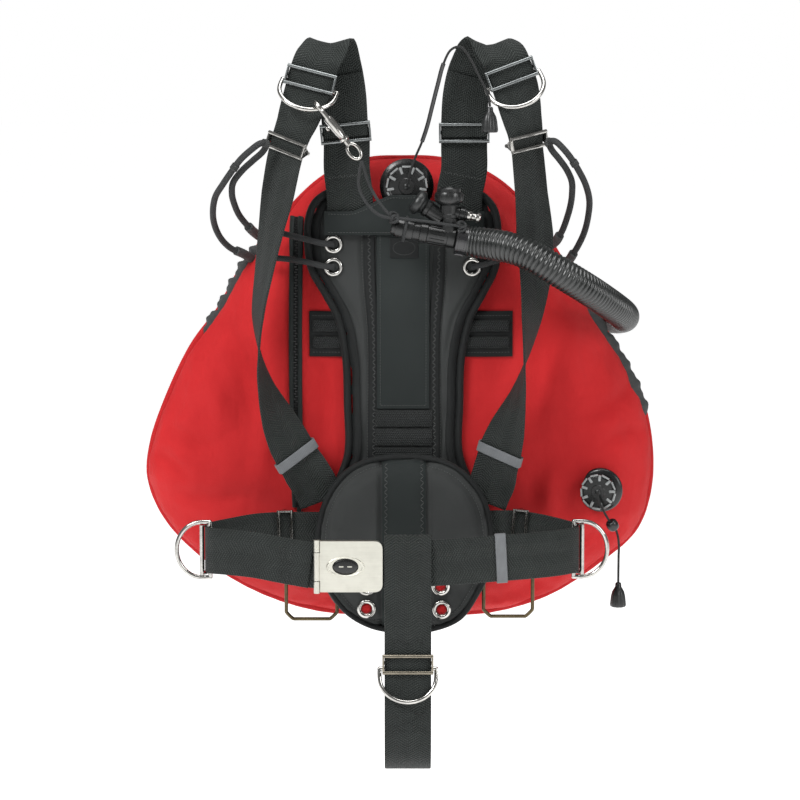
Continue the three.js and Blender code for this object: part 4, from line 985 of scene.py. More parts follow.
# In each webbing the second colour is the painted highlight of the raised threads.
WEBBING = WebbingFinish("webbing", "webbing", (0.006, 0.0075, 0.007), (0.046, 0.052, 0.049), slope=0.6)
NARROW_WEBBING = WebbingFinish("narrow_webbing", "webbing", (0.006, 0.007, 0.007), (0.040, 0.043, 0.042),
                               rib=0.0024, cord=0.0018, width=0.025)
SATIN = MetalFinish("satin_steel", "steel", (0.21, 0.225, 0.225), (0.11, 0.115, 0.115), roughness=0.24)
STEEL = MetalFinish("polished_steel", "steel", (0.56, 0.55, 0.52), (0.20, 0.195, 0.19), roughness=0.10)
BRUSHED = MetalFinish("brushed_steel", "brushed", (0.63, 0.62, 0.55), (0.52, 0.51, 0.45), roughness=0.30,
                      grain=(0.03, 1, 1), grain_scale=900.0, grain_depth=0.00006)
BRONZED = MetalFinish("bronzed_steel", "steel", (0.24, 0.215, 0.17), (0.11, 0.10, 0.08), roughness=0.16)
BRONZE = MetalFinish("bronze_wire", "bronze_wire", (0.125, 0.098, 0.055), (0.055, 0.045, 0.030),
                     roughness=0.36)
# In each elastic the second colour is the painted highlight of the rib tops.
ELASTIC = ElasticFinish("grey_elastic", "elastic", (0.07, 0.075, 0.08), (0.20, 0.21, 0.22))
BLACK_ELASTIC = ElasticFinish("black_elastic", "elastic", (0.008, 0.009, 0.009), (0.045, 0.048, 0.048))
PLASTIC = MouldedFinish("black_plastic", "black_plastic", (0.006, 0.0065, 0.0065), (0.018, 0.019, 0.019),
                        roughness=0.24)
# The light grey of the vents stands for highlights on the valves' black plastic: a painted highlight.
VENT_PAINTED_HIGHLIGHT = MouldedFinish("vent_painted_highlight", "black_plastic", (0.20, 0.21, 0.21), (0.36, 0.37, 0.37), roughness=0.16,
                     coat=0.4)
GLOSSY = MouldedFinish("glossy_tube", "black_plastic", (0.008, 0.008, 0.009), (0.020, 0.020, 0.021),
                       roughness=0.22, depth=0.00002, coat=0.5)
RUBBER = MouldedFinish("rubber", "rubber", (0.008, 0.009, 0.009), (0.026, 0.028, 0.028), roughness=0.36,
                       texture=1200.0, depth=0.00006)
HOSE_RUBBER = MouldedFinish("hose_rubber", "rubber", (0.010, 0.0115, 0.011), (0.022, 0.024, 0.023),
                            roughness=0.26, texture=1200.0, depth=0.00003, coat=0.3)
# In each cord the second colour is the painted highlight of the strand crowns.
SHOCK_CORD = BraidFinish("shock_cord", "cord", (0.008, 0.008, 0.009), (0.055, 0.058, 0.058))
THIN_CORD = BraidFinish("thin_cord", "cord", (0.008, 0.008, 0.008), (0.045, 0.046, 0.046), strands=4.0,
                        round_length=0.008, pitch=0.0024)
THREAD = MouldedFinish("thread", "webbing", (0.020, 0.022, 0.021), (0.070, 0.074, 0.072), roughness=0.6)
GREY_THREAD = MouldedFinish("grey_thread", "pad_cloth", (0.060, 0.064, 0.062), (0.13, 0.135, 0.13),
                            roughness=0.6)


class Wardrobe:
    """Builds each finish once and puts it on pieces."""

    def __init__(self) -> None:
        """Starts with nothing built."""
        self.made: dict[str, bpy.types.Material] = {}

    def dress(self, piece: bpy.types.Object, finish: Finish) -> bpy.types.Object:
        """Gives a piece its finish."""
        if finish.name not in self.made:
            self.made[finish.name] = finish.make()
        piece.data.materials.clear()
        piece.data.materials.append(self.made[finish.name])
        return piece


WARDROBE = Wardrobe()


def add(piece: bpy.types.Object, finish: Finish, body: str = "root", instead_of: Sequence[str] = ()
        ) -> bpy.types.Object:
    """Dresses a new piece, hangs it on a body and hides the frame nodes it stands for."""
    WARDROBE.dress(piece, finish)
    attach(piece, body)
    if instead_of:
        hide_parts(*instead_of)
    LOG.info("made %s with %s on %s", piece.name, finish.name, body)
    return piece


def redress(node: str, finish: Finish) -> None:
    """Gives a frame node a better finish."""
    WARDROBE.dress(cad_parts[node], finish)
    LOG.info("dressed %s with %s", node, finish.name)


# ---------------------------------------------------------------- soft goods
def narrow_ends(share: float) -> tuple[float, float]:
    """Section scales that narrow a tape towards both ends."""
    scale = min(1.0, 0.4 + 6 * min(share, 1 - share))
    return scale, scale


def five_bulges(share: float) -> tuple[float, float]:
    """Section scales with five soft bulges along a sleeve."""
    scale = 1 + 0.06 * math.sin(share * TURN * 5)
    return scale, scale


def slim_tip(share: float) -> tuple[float, float]:
    """Section scales that slim the first sixth of a wire."""
    scale = 0.78 + 0.22 * min(1.0, share * 6)
    return scale, scale


@dataclass(frozen=True)
class Inflation:
    """How a padded piece is blown up by a short cloth simulation."""

    voxel: float = 0.005
    pressure: float = 4.0
    frames: int = 20
    reach: float = 0.006
    tension: float = 25.0
    sideways: float = 0.05

    def run(self, piece: bpy.types.Object) -> None:
        """Remeshes the piece, blows it up, caps how far it moves, mostly in depth, and smooths it."""
        self._apply(piece, "REMESH", mode="VOXEL", voxel_size=self.voxel)
        rest = [v.co.copy() for v in piece.data.vertices]
        self._blow(piece)
        for vert, start in zip(piece.data.vertices, rest):
            move = vert.co - start
            move.x *= self.sideways
            move.z *= self.sideways
            vert.co = start + move * min(1.0, self.reach / max(move.length, 1e-9))
        self._apply(piece, "SUBSURF", levels=1, render_levels=1)
        piece.data.shade_smooth()

    def _apply(self, piece: bpy.types.Object, kind: str, **settings: object) -> None:
        """Adds one modifier and keeps its result as the piece's mesh."""
        modifier = piece.modifiers.new(kind.lower(), kind)
        for key, value in settings.items():
            setattr(modifier, key, value)
        self._keep(piece)

    @staticmethod
    def _keep(piece: bpy.types.Object) -> None:
        """Replaces the piece's mesh by its evaluated one and drops the modifiers."""
        graph = bpy.context.evaluated_depsgraph_get()
        mesh = bpy.data.meshes.new_from_object(piece.evaluated_get(graph))
        piece.modifiers.clear()
        old = piece.data
        piece.data = mesh
        bpy.data.meshes.remove(old)

    def _blow(self, piece: bpy.types.Object) -> None:
        """Runs the cloth simulation and keeps its last frame."""
        cloth = piece.modifiers.new("cloth", "CLOTH")
        cloth.settings.use_pressure = True
        cloth.settings.uniform_pressure_force = self.pressure
        cloth.settings.effector_weights.gravity = 0.0
        cloth.settings.quality = 4
        cloth.settings.tension_stiffness = self.tension
        cloth.settings.compression_stiffness = self.tension
        cloth.collision_settings.use_collision = False
        cloth.point_cache.frame_start = 1
        cloth.point_cache.frame_end = self.frames
        for step in range(1, self.frames + 1):
            bpy.context.scene.frame_set(step)
        self._keep(piece)
        bpy.context.scene.frame_set(1)


def outline_slab(name: str, outline: Sequence[Point], back: float, thickness: float, rounding: float,
                 corners: int = 160, grow: float = 0.0) -> bpy.types.Object:
    """A slab with a smooth outline in x and z, from one depth forwards."""
    route = Route([(x, 0, z) for x, z in outline], closed=True)
    bm = bmesh.new()
    made = bmesh.ops.create_circle(bm, cap_ends=True, segments=corners, radius=1.0)
    turning = sorted(made["verts"], key=lambda v: math.atan2(v.co.y, v.co.x))
    for i, vert in enumerate(turning):
        share = i / corners
        ahead = route.tangent(share)
        outward = Vector((ahead.z, 0, -ahead.x))
        vert.co = route.at(share) + outward * grow
        vert.co.y = back
    front = bmesh.ops.extrude_face_region(bm, geom=list(bm.faces))
    moved = [g for g in front["geom"] if isinstance(g, bmesh.types.BMVert)]
    bmesh.ops.translate(bm, verts=moved, vec=(0, -thickness, 0))
    bmesh.ops.recalc_face_normals(bm, faces=bm.faces)
    soften(bm, rounding, 3)
    return finish_mesh(bm, name)


def cut_cloth(name: str, corners: Sequence[Point], back: float, thickness: float) -> bpy.types.Object:
    """A flat piece of cloth cut to corners in x and z, with soft edges."""
    bm = bmesh.new()
    face = bm.faces.new([bm.verts.new((x, back, z)) for x, z in corners])
    front = bmesh.ops.extrude_face_region(bm, geom=[face])
    moved = [g for g in front["geom"] if isinstance(g, bmesh.types.BMVert)]
    bmesh.ops.translate(bm, verts=moved, vec=(0, -thickness, 0))
    bmesh.ops.recalc_face_normals(bm, faces=bm.faces)
    soften(bm, thickness * 0.35, 2)
    return sort_by_angle(bm, name, 0.8)


def groove(piece: bpy.types.Object, lines: Sequence[Sequence[Point]], depth: float, width: float,
           closed: bool = False, fading: bool = False) -> None:
    """Presses seams into a piece's front along lines in x and z, or soft folds that fade at their ends."""
    spots = []
    for line in lines:
        route = Route([(x, 0, z) for x, z in line], closed)
        count = max(2, round(route.length / (width * 0.5)))
        for i in range(count + 1):
            p = route.at(i / count)
            fade = math.sin(math.pi * i / count) if fading else 1.0
            spots.append((p.x, p.z, fade))
    cells: dict[tuple[int, int], list[tuple[float, float, float]]] = {}
    size = width * 3
    for x, z, fade in spots:
        cells.setdefault((math.floor(x / size), math.floor(z / size)), []).append((x, z, fade))
    for vert, normal in zip(piece.data.vertices, [v.normal.copy() for v in piece.data.vertices]):
        if normal.y > -0.2:
            continue
        cx, cz = math.floor(vert.co.x / size), math.floor(vert.co.z / size)
        near = [s for i in (-1, 0, 1) for k in (-1, 0, 1) for s in cells.get((cx + i, cz + k), ())]
        if near:
            gap, fade = min((math.hypot(vert.co.x - x, vert.co.z - z), fade) for x, z, fade in near)
            vert.co.y += depth * fade * math.exp(-((gap / width) ** 2))


def taken(piece: bpy.types.Object) -> bmesh.types.BMesh:
    """Takes the mesh out of a loose object and removes the object.

    Args:
        piece: the object, which is gone afterwards.

    Returns:
        Its mesh.
    """
    mesh = piece.data
    bm = bmesh.new()
    bm.from_mesh(mesh)
    bpy.data.objects.remove(piece)
    bpy.data.meshes.remove(mesh)
    return bm


def everywhere(_: Vector) -> float:
    """The same weight at every point."""
    return 1.0


def ruffle(piece: bpy.types.Object, height: float, scale: float, seed: float,
           weight: Callable[[Vector], float] = everywhere) -> None:
    """Moves a piece's points along their normals by soft noise.

    Args:
        piece: the piece to move.
        height: the largest move, in metres.
        scale: waves per metre.
        seed: which part of the noise is used.
        weight: the share of the move at a point.
    """
    for vert, normal in zip(piece.data.vertices, [v.normal.copy() for v in piece.data.vertices]):
        spot = vert.co * scale + Vector((seed, seed * 0.7, -seed))
        vert.co += normal * height * noise.noise(spot) * weight(vert.co)


def spots_on(ground: Ground, line: Sequence[Point], lift: float = 0.0, closed: bool = False,
             pitch: float = 0.004) -> list[tuple[Vector, Vector]]:
    """Points along a line on a surface, with the outward direction at each."""
    route = Route([(x, 0, z) for x, z in line], closed)
    count = max(2, round(route.length / pitch))
    found = []
    for i in range(count + 1):
        p = route.at(i / count)
        found.append((ground.point(p.x, p.z, lift), ground.normal(p.x, p.z)))
    return found


@dataclass
class Wing:
    """The air cell: two cloth panels blown up between a bound seam, with its zip, patches and edge tapes."""

    centre: Point = (0.0, 0.052, -0.400)
    front_depth: float = 0.0455
    back_depth: float = 0.0465
    inset: float = 0.0015
    around: int = 220
    rings: int = 44
    zip_width: float = 0.014
    left_zip: Sequence[Point] = ((-0.117, -0.196), (-0.118, -0.25), (-0.119, -0.32), (-0.119, -0.40),
                                 (-0.118, -0.46), (-0.116, -0.514))
    folds: Sequence[tuple[Sequence[Point], float, float]] = (
        (((-0.205, -0.300), (-0.190, -0.330), (-0.172, -0.375), (-0.163, -0.420)), 0.0055, 0.011),
        (((-0.225, -0.335), (-0.215, -0.380), (-0.190, -0.430)), -0.0045, 0.014),
        (((-0.276, -0.420), (-0.245, -0.440), (-0.200, -0.452)), 0.0050, 0.010),
        (((-0.283, -0.455), (-0.258, -0.468), (-0.235, -0.490)), 0.0042, 0.007),
        (((-0.160, -0.360), (-0.150, -0.410), (-0.154, -0.460), (-0.170, -0.505)), -0.0050, 0.015),
        (((-0.260, -0.500), (-0.215, -0.508), (-0.165, -0.500)), 0.0040, 0.010),
        (((-0.235, -0.555), (-0.190, -0.560), (-0.140, -0.600)), 0.0045, 0.010),
        (((-0.096, -0.330), (-0.090, -0.390), (-0.096, -0.450)), 0.0035, 0.009),
        (((0.120, -0.235), (0.145, -0.300), (0.150, -0.370), (0.140, -0.440)), 0.0050, 0.013),
        (((0.190, -0.300), (0.185, -0.350), (0.196, -0.400)), -0.0045, 0.014),
        (((0.263, -0.370), (0.235, -0.400), (0.190, -0.420)), 0.0050, 0.010),
        (((0.279, -0.440), (0.245, -0.435), (0.215, -0.450)), 0.0042, 0.008),
        (((0.170, -0.460), (0.160, -0.505), (0.175, -0.550)), -0.0040, 0.012),
        (((0.250, -0.545), (0.205, -0.550), (0.150, -0.590)), 0.0048, 0.010),
        (((-0.060, -0.160), (-0.105, -0.180), (-0.150, -0.235)), 0.0030, 0.009),
        (((0.070, -0.165), (0.110, -0.185), (0.150, -0.235)), 0.0030, 0.009),
    )
    shell: Optional[bpy.types.Object] = field(default=None, init=False)
    rim: Optional[Route] = field(default=None, init=False)

    def __post_init__(self) -> None:
        """Measures the outline."""
        self.rim = Route([(x, self.centre[1], z) for x, z in WING_OUTLINE], closed=True)
        count = 360
        self.bearings = []
        for i in range(count):
            p = self.rim.at(i / count) - Vector(self.centre)
            self.bearings.append((math.atan2(p.z, p.x), math.hypot(p.x, p.z)))
        self.bearings.sort()

    def reach(self, angle: float) -> float:
        """The distance from the centre to the outline in a direction."""
        angle = math.atan2(math.sin(angle), math.cos(angle))
        ring = [(self.bearings[-1][0] - TURN, self.bearings[-1][1]), *self.bearings,
                (self.bearings[0][0] + TURN, self.bearings[0][1])]
        for (a0, r0), (a1, r1) in zip(ring, ring[1:]):
            if a0 <= angle <= a1:
                return r0 + (r1 - r0) * (angle - a0) / max(a1 - a0, 1e-9)
        return ring[0][1]

    def build(self) -> None:
        """Builds every piece of the wing."""
        self._shell()
        ground = Ground(self.shell)
        self._binding()
        self._zip(ground)
        self._tabs(ground)
        self._edge_tapes()
        self._cord_tabs()
        self._rear(Ground(self.shell, rear=True))

    def _shell(self) -> None:
        """The blown-up cloth."""
        reaches = [self.reach(TURN * i / self.around) - self.inset for i in range(self.around + 1)]

        def place(u: float, w: float) -> Vector:
            """One point of the flat shell before it is blown up."""
            i = round(u * self.around)
            turn = TURN * i / self.around
            across = math.sin(math.pi * w)
            share = across ** 0.8
            side = -self.front_depth if w < 0.5 else self.back_depth
            dome = math.sqrt(max(0.0, 1 - share**3.6))
            r = reaches[i] * share
            return Vector((self.centre[0] + r * math.cos(turn), self.centre[1] + side * dome,
                           self.centre[2] + r * math.sin(turn)))

        bm = Builder.grid(self.around, self.rings, place, (1.0, 1.0), weld=1e-5)
        bmesh.ops.recalc_face_normals(bm, faces=bm.faces)
        self.shell = finish_mesh(bm, "wing_shell")
        Inflation(voxel=0.0075, pressure=3.0, reach=0.007, tension=40.0).run(self.shell)
        centre = Vector(self.centre)

        def near_rim(p: Vector) -> float:
            """How close a point is to the seam, from 0 to 1."""
            gap = p - centre
            share = math.hypot(gap.x, gap.z) / self.reach(math.atan2(gap.z, gap.x))
            return max(0.0, min(1.0, (share - 0.55) / 0.4))

        def broad(p: Vector) -> float:
            """The weight of the broad waves, which fade near the seam."""
            return 1.0 - 0.6 * near_rim(p)

        def fine(p: Vector) -> float:
            """The weight of the fine waves, which grow near the seam."""
            return 0.3 + 0.5 * near_rim(p)

        ruffle(self.shell, 0.0040, 12.0, 2.0, broad)
        ruffle(self.shell, 0.0016, 34.0, 7.0, fine)
        for line, depth, width in self.folds:
            groove(self.shell, [line], depth * FOLD_GAIN, width, fading=True)
        add(self.shell, RED_CLOTH, instead_of=("wing_front_panel", "wing_back_panel", "wing_bladder"))

    def _binding(self) -> None:
        """The tape sewn over the seam all round."""
        inner = [(p.x * 0.980, p.y, self.centre[2] + (p.z - self.centre[2]) * 0.980) for p in self.rim.points]
        route = Route(inner, closed=True)
        section = [(math.cos(TURN * i / 14), math.sin(TURN * i / 14)) for i in range(14)]
        steps = 260
        frames = []
        for i in range(steps + 1):
            ahead = route.tangent(i / steps)
            outward = Vector((0, 1, 0)).cross(ahead).normalized()
            wave = 0.0006 * math.sin(i * 1.9)
            frames.append(frame_of(outward, Vector((0, 1, 0)), ahead,
                                   route.at(i / steps) + Vector((0, wave, 0))))
        frames[-1] = frames[0]
        section = [(x * 0.0062, y * 0.0026) for x, y in section]
        add(Builder.sweep("wing_binding", frames, section, route.length), RED_TAPE)

    def _zip(self, ground: Ground) -> None:
        """The long zip on the left of the front panel: tape, chain and slider."""
        add(ground.strip("zip_tape", self.left_zip, self.zip_width, 0.0012, 0.0004), BINDING)
        for side, offset in (("left", -0.0048), ("right", 0.0048)):
            line = [(x + offset, z) for x, z in self.left_zip]
            add(ground.strip(f"zip_flap_{side}", line, 0.0052, 0.0016, 0.0016, across=4, bulge=0.0006),
                PANEL_CLOTH)
        route = Route([(x, 0, z) for x, z in self.left_zip])
        teeth = bmesh.new()
        count = 110
        for i in range(count):
            p = route.at((i + 0.5) / count)
            spot = ground.point(p.x, p.z, 0.0022)
            made = bmesh.ops.create_cube(teeth, size=1.0)
            shape = Matrix.Translation(spot + Vector((0.0007 * (1 if i % 2 else -1), 0, 0)))
            shape = shape @ Matrix.Diagonal((0.0030, 0.0014, 0.0013, 1.0))
            bmesh.ops.transform(teeth, matrix=shape, verts=made["verts"])
        add(finish_mesh(teeth, "zip_chain", smooth=False), PLASTIC)
        low = self.left_zip[-1]
        slider = Builder.box((0.008, 0.004, 0.012),
                             Matrix.Translation(ground.point(low[0], low[1] + 0.008, 0.003)), 0.001)
        tab = Builder.box((0.005, 0.0016, 0.020),
                          Matrix.Translation(ground.point(low[0], low[1] - 0.008, 0.004)), 0.0006)
        add(sort_by_angle(joined([slider, tab]), "zip_slider"), PLASTIC)

    def _tabs(self, ground: Ground) -> None:
        """The webbing loops beside the back pad that a strap can be threaded through."""
        for side, left, right in (("left", -0.104, -0.063), ("right", 0.063, 0.119)):
            middle = (left + right) / 2
            width = right - left
            base = ground.strip(f"loop_patch_{side}", [(middle, -0.297), (middle, -0.347)], width, 0.0016,
                                0.0006,
                                across=10)
            add(base, BINDING)
            for row, z in (("top", -0.302), ("bottom", -0.342)):
                spots = spots_on(ground, [(left + 0.003, z), (middle, z), (right - 0.003, z)], 0.0024)
                add(stitch(f"loop_stitch_{side}_{row}", spots), GREY_THREAD)
            for k, z in enumerate((-0.313, -0.331)):
                line = [(left + 0.004, z), (middle, z), (right - 0.004, z)]
                band = ground.strip(f"loop_band_{side}_{k}", line, 0.013, 0.0018, 0.0024, bulge=0.0010)
                add(band, NARROW_WEBBING)

    def _edge_tapes(self) -> None:
        """The black elastic tapes that wrap the upper edge on both sides."""
        for name, start, end, puff in (("left", 0.112, 0.188, 0.0030), ("right", 0.745, 0.835, 0.0018)):
            steps = 70
            frames = []
            for i in range(steps + 1):
                share = start + (end - start) * i / steps
                ahead = self.rim.tangent(share)
                outward = Vector((0, 1, 0)).cross(ahead).normalized()
                wave = puff * (0.6 * math.sin(i * 0.52) + 0.35 * math.sin(i * 1.13))
                centre = self.rim.at(share) - outward * (0.009 + wave)
                frames.append(frame_of(outward, Vector((0, 1, 0)), ahead, centre))
            section = [(0.0120 * math.cos(TURN * k / 16),
                        0.0070 * math.sin(TURN * k / 16)) for k in range(16)]
            length = self.rim.length * abs(end - start)
            add(Builder.sweep(f"edge_tape_{name}", frames, section, length, narrow_ends), BLACK_ELASTIC)

    def _cord_tabs(self) -> None:
        """The elastic tabs that sew each end of both bungees to the seam."""
        for side, cord in (("left", LEFT_BUNGEE), ("right", RIGHT_BUNGEE)):
            for end, (tip, before) in (("low", (cord[0], cord[1])), ("high", (cord[-1], cord[-2]))):
                start, ahead = Vector(tip), (Vector(tip) - Vector(before)).normalized()
                near = min((self.rim.at(i / 300) for i in range(300)), key=lambda p: (p - start).length)
                inside = near + (Vector(self.centre) - near).normalized() * 0.012
                route = Route([start - ahead * 0.010, start, start.lerp(inside, 0.5) + ahead * 0.004, inside])
                tab = Builder.tube(f"bungee_tab_{side}_{end}", route, 0.0104, 40, 16)
                add(tab, BLACK_ELASTIC)

    def _rear(self, ground: Ground) -> None:
        """The rear side: a spine of webbing and cross bands with their tacks."""
        spine = ground.strip("rear_spine", [(0.0, -0.165), (0.0, -0.30), (0.0, -0.45), (0.0, -0.60)], 0.050,
                             0.0024,
                             0.0006, across=8)
        add(spine, WEBBING)
        for k, z in enumerate((-0.235, -0.330, -0.425, -0.520)):
            half = 0.052
            band = ground.strip(f"rear_loop_{k}", [(-half, z), (0.0, z), (half, z)], 0.025, 0.0022, 0.0034,
                                bulge=0.001)
            add(band, NARROW_WEBBING)
            for side in (-1, 1):
                x = side * (half - 0.006)
                spots = spots_on(ground, [(x, z - 0.010), (x, z), (x, z + 0.010)], 0.0060)
                add(stitch(f"rear_tack_{k}_{'left' if side < 0 else 'right'}", spots, row=ThreadRow.ZIGZAG),
                    THREAD)


def eyelet(name: str, place: Matrix, outer: float = 0.0105, inner: float = 0.0058, height: float = 0.0022,
           finish: Finish = STEEL) -> None:
    """A pressed metal eyelet with a rolled rim."""
    middle, roll = (outer + inner) / 2, (outer - inner) / 2
    profile = []
    for i in range(13):
        turn = math.pi * i / 12
        profile.append((middle + roll * math.cos(turn), height * math.sin(turn)))
    profile += [(inner * 0.98, -0.0030), (inner * 0.90, -0.0030), (inner * 0.90, 0.0), (middle, height * 0.7),
                (outer * 0.97, -0.0008), (outer, 0.0)]
    add(finish_mesh(Builder.turned(profile, place, 40), name), finish)


@dataclass
class BackPad:
    """The padded back with its bound edge, sewn channels, smooth centre panel, webbing rows and eyelets."""

    start_thickness: float = 0.0082
    back: float = -0.0012
    centre_x: float = -0.001
    panel_width: float = 0.058
    panel_top: float = -0.209
    panel_bottom: float = -0.403
    yoke_back: float = -0.0172
    eyelets: Sequence[Point] = ((-0.077, -0.2225), (-0.077, -0.2475), (0.074, -0.2475), (0.074, -0.2225))

    def build(self) -> None:
        """Builds every piece of the back pad."""
        pad = outline_slab("back_pad_soft", PAD_OUTLINE, self.back, self.start_thickness, 0.003, grow=-0.003)
        Inflation(voxel=0.0050, pressure=2.0, reach=0.0024, tension=30.0).run(pad)
        inner = [self._inset(p, 0.017) for p in PAD_OUTLINE]
        sides = [[(s * 0.046, -0.205), (s * 0.045, -0.26), (s * 0.040, -0.32),
                  (s * 0.040, -0.46)] for s in (-1, 1)]
        groove(pad, [inner], 0.0022, 0.0028, closed=True)
        groove(pad, sides, 0.0022, 0.0026)
        ruffle(pad, 0.0006, 60.0, 3.0)
        add(pad, PAD_CLOTH, instead_of=("back_pad",))
        ground = Ground(pad)
        self._edge(ground, inner)
        self._bands(ground, sides)
        self._panel()
        self._rows(ground)
        for k, (x, z) in enumerate(self.eyelets):
            eyelet(f"pad_eyelet_{k}", along(ground.point(x, z, 0.0010), (0, -1, 0)))
        self._lacing(ground)

    @staticmethod
    def _inset(point: Point, gap: float) -> tuple[float, float]:
        """A point of the outline moved inwards along the line to the pad's spine."""
        x, z = point
        spine = Vector((0.0, 0.0, max(-0.60, min(-0.20, z))))
        away = Vector((x, 0, z)) - spine
        if away.length < gap * 1.2:
            return x, z - gap
        moved = away * (1 - gap / away.length)
        return spine.x + moved.x, spine.z + moved.z

    def _edge(self, ground: Ground, inner: Sequence[Point]) -> None:
        """The cloth tape that binds the pad's edge, with its zigzag seam."""
        route = Route([(x, -0.0055, z) for x, z in PAD_OUTLINE], closed=True)
        steps = 300
        frames = []
        for i in range(steps + 1):
            ahead = route.tangent(i / steps)
            inward = Vector((0, -1, 0)).cross(ahead).normalized()
            frames.append(frame_of(inward, Vector((0, 1, 0)), ahead, route.at(i / steps)))
        frames[-1] = frames[0]
        section = [(0.0042 * math.cos(TURN * k / 16), 0.0058 * math.sin(TURN * k / 16)) for k in range(16)]
        add(Builder.sweep("pad_edge", frames, section, route.length), BINDING)
        seam = [self._inset(p, 0.0125) for p in PAD_OUTLINE]
        add(ground.strip("pad_tape", [self._inset(p, 0.0075) for p in PAD_OUTLINE], 0.013, 0.0014, 0.0002,
                         closed=True,
                         across=6), BINDING)
        spots = spots_on(ground, seam, 0.0008, closed=True)
        add(stitch("pad_zigzag", spots, 0.0034, ThreadRow.ZIGZAG, 0.0019), GREY_THREAD)

    def _bands(self, ground: Ground, sides: Sequence[Sequence[Point]]) -> None:
        """The band across the top, and the stitched channels down both sides."""
        top = [(-0.086, -0.192), (-0.03, -0.2145), (0.0, -0.2155), (0.03, -0.2145), (0.084, -0.192)]
        add(stitch("pad_yoke_seam", spots_on(ground, top, 0.0004), 0.0034), GREY_THREAD)
        self._yoke()
        for name, line in zip(("left", "right"), sides):
            add(stitch(f"channel_seam_{name}", spots_on(ground, line, 0.0004), 0.0034), GREY_THREAD)
            inner = [(x * 0.83, z) for x, z in line]
            add(ground.strip(f"channel_tape_{name}", inner, 0.012, 0.0014, 0.0004), BINDING)
            add(stitch(f"channel_zigzag_{name}", spots_on(ground, inner, 0.0019), 0.0036, ThreadRow.ZIGZAG,
                       0.002),
                GREY_THREAD)

    def _yoke(self) -> None:
        """The cloth yoke across the top, over the ends of both sewn straps and below the dump valve."""
        half, top, low = 0.087, -0.1865, -0.2125
        arc = [(-half, low), (-half, top), (-0.055, top), (-0.036, -0.1780), (-0.015, -0.1690),
               (0.015, -0.1690),
               (0.038, -0.1780), (0.056, top), (half, top), (half, low), (0.030, low), (-0.030, low)]
        yoke = cut_cloth("pad_yoke", arc, self.yoke_back, 0.0022)
        add(yoke, PANEL_CLOTH)
        ground = Ground(yoke)
        for name, line in (("low",
                            [(-half + 0.004, low + 0.003), (0.0, low + 0.003), (half - 0.004, low + 0.003)]),
                           ("left", [(-half + 0.004, top - 0.003), (-0.056, top - 0.003), (-0.036, -0.182),
                                     (-0.015, -0.1725), (0.0, -0.1725)]),
                           ("right", [(half - 0.004, top - 0.003), (0.056, top - 0.003), (0.038, -0.182),
                                      (0.015, -0.1725), (0.0, -0.1725)])):
            add(stitch(f"yoke_seam_{name}", spots_on(ground, line, 0.0002), 0.0032), GREY_THREAD)

    def _panel(self) -> None:
        """The smooth centre panel with a sewn border and a blank label."""
        height = self.panel_top - self.panel_bottom
        middle = (self.panel_top + self.panel_bottom) / 2
        place = Matrix.Translation((self.centre_x, -0.0142, middle))
        body = Builder.box((self.panel_width, 0.0036, height), place, 0.0014, 3)
        panel = sort_by_angle(body, "centre_panel_cloth", 1.2)
        add(panel, PANEL_CLOTH, instead_of=("centre_panel",))
        ground = Ground(panel)
        x, top, low = self.panel_width / 2 - 0.004, self.panel_top - 0.004, self.panel_bottom + 0.004
        for name, line in (("left", [(-x, top), (-x, middle), (-x, low)]),
                           ("right", [(x, top), (x, middle), (x, low)]),
                           ("low", [(-x, low), (0, low), (x, low)])):
            moved = [(a + self.centre_x, b) for a, b in line]
            add(stitch(f"panel_seam_{name}", spots_on(ground, moved, 0.0002), 0.0032), GREY_THREAD)
        label = Builder.box((0.031, 0.0010, 0.022), Matrix.Translation((0.0, -0.0165, -0.2265)), 0.0004)
        add(sort_by_angle(label, "blank_label"), BINDING)
        rim = Ground(bpy.data.objects["blank_label"])
        ring = [(0.012 * math.cos(TURN * k / 12),
                 -0.2265 + 0.0075 * math.sin(TURN * k / 12)) for k in range(12)]
        add(stitch("label_seam", spots_on(rim, ring, 0.0, closed=True, pitch=0.002), 0.0016, radius=0.0003),
            GREY_THREAD)

    def _rows(self, ground: Ground) -> None:
        """The rows of flat webbing below the panel."""
        for k, z in enumerate((-0.4135, -0.4345, -0.4555)):
            line = [(-0.032, z), (0.0, z), (0.031, z)]
            add(ground.strip(f"spine_row_{k}", line, 0.0195, 0.0022, 0.0010, bulge=0.0006), NARROW_WEBBING)

    def _lacing(self, ground: Ground) -> None:
        """The shock cord laced through the upper eyelets."""
        runs = {
            "upper_left": ((-0.077, -0.013, -0.2225), (-0.088, -0.0185, -0.2215), (-0.105, -0.0175, -0.2175),
                           (-0.122, -0.013, -0.2135), (-0.138, -0.004, -0.2105), (-0.150, 0.004, -0.2120)),
            "lower_left": ((-0.077, -0.013, -0.2475), (-0.088, -0.0185, -0.2460), (-0.105, -0.0175, -0.2420),
                           (-0.122, -0.0125, -0.2395), (-0.140, -0.004, -0.2385), (-0.152, 0.003, -0.2395)),
            "right": ((0.074, -0.013, -0.2475), (0.086, -0.0185, -0.2445), (0.102, -0.0180, -0.2395),
                      (0.120, -0.013, -0.2340), (0.136, -0.004, -0.2290)),
        }
        for name, points in runs.items():
            piece = Builder.tube(f"lacing_{name}", Route(points), 0.0065, 40, 14)
            add(piece, SHOCK_CORD)


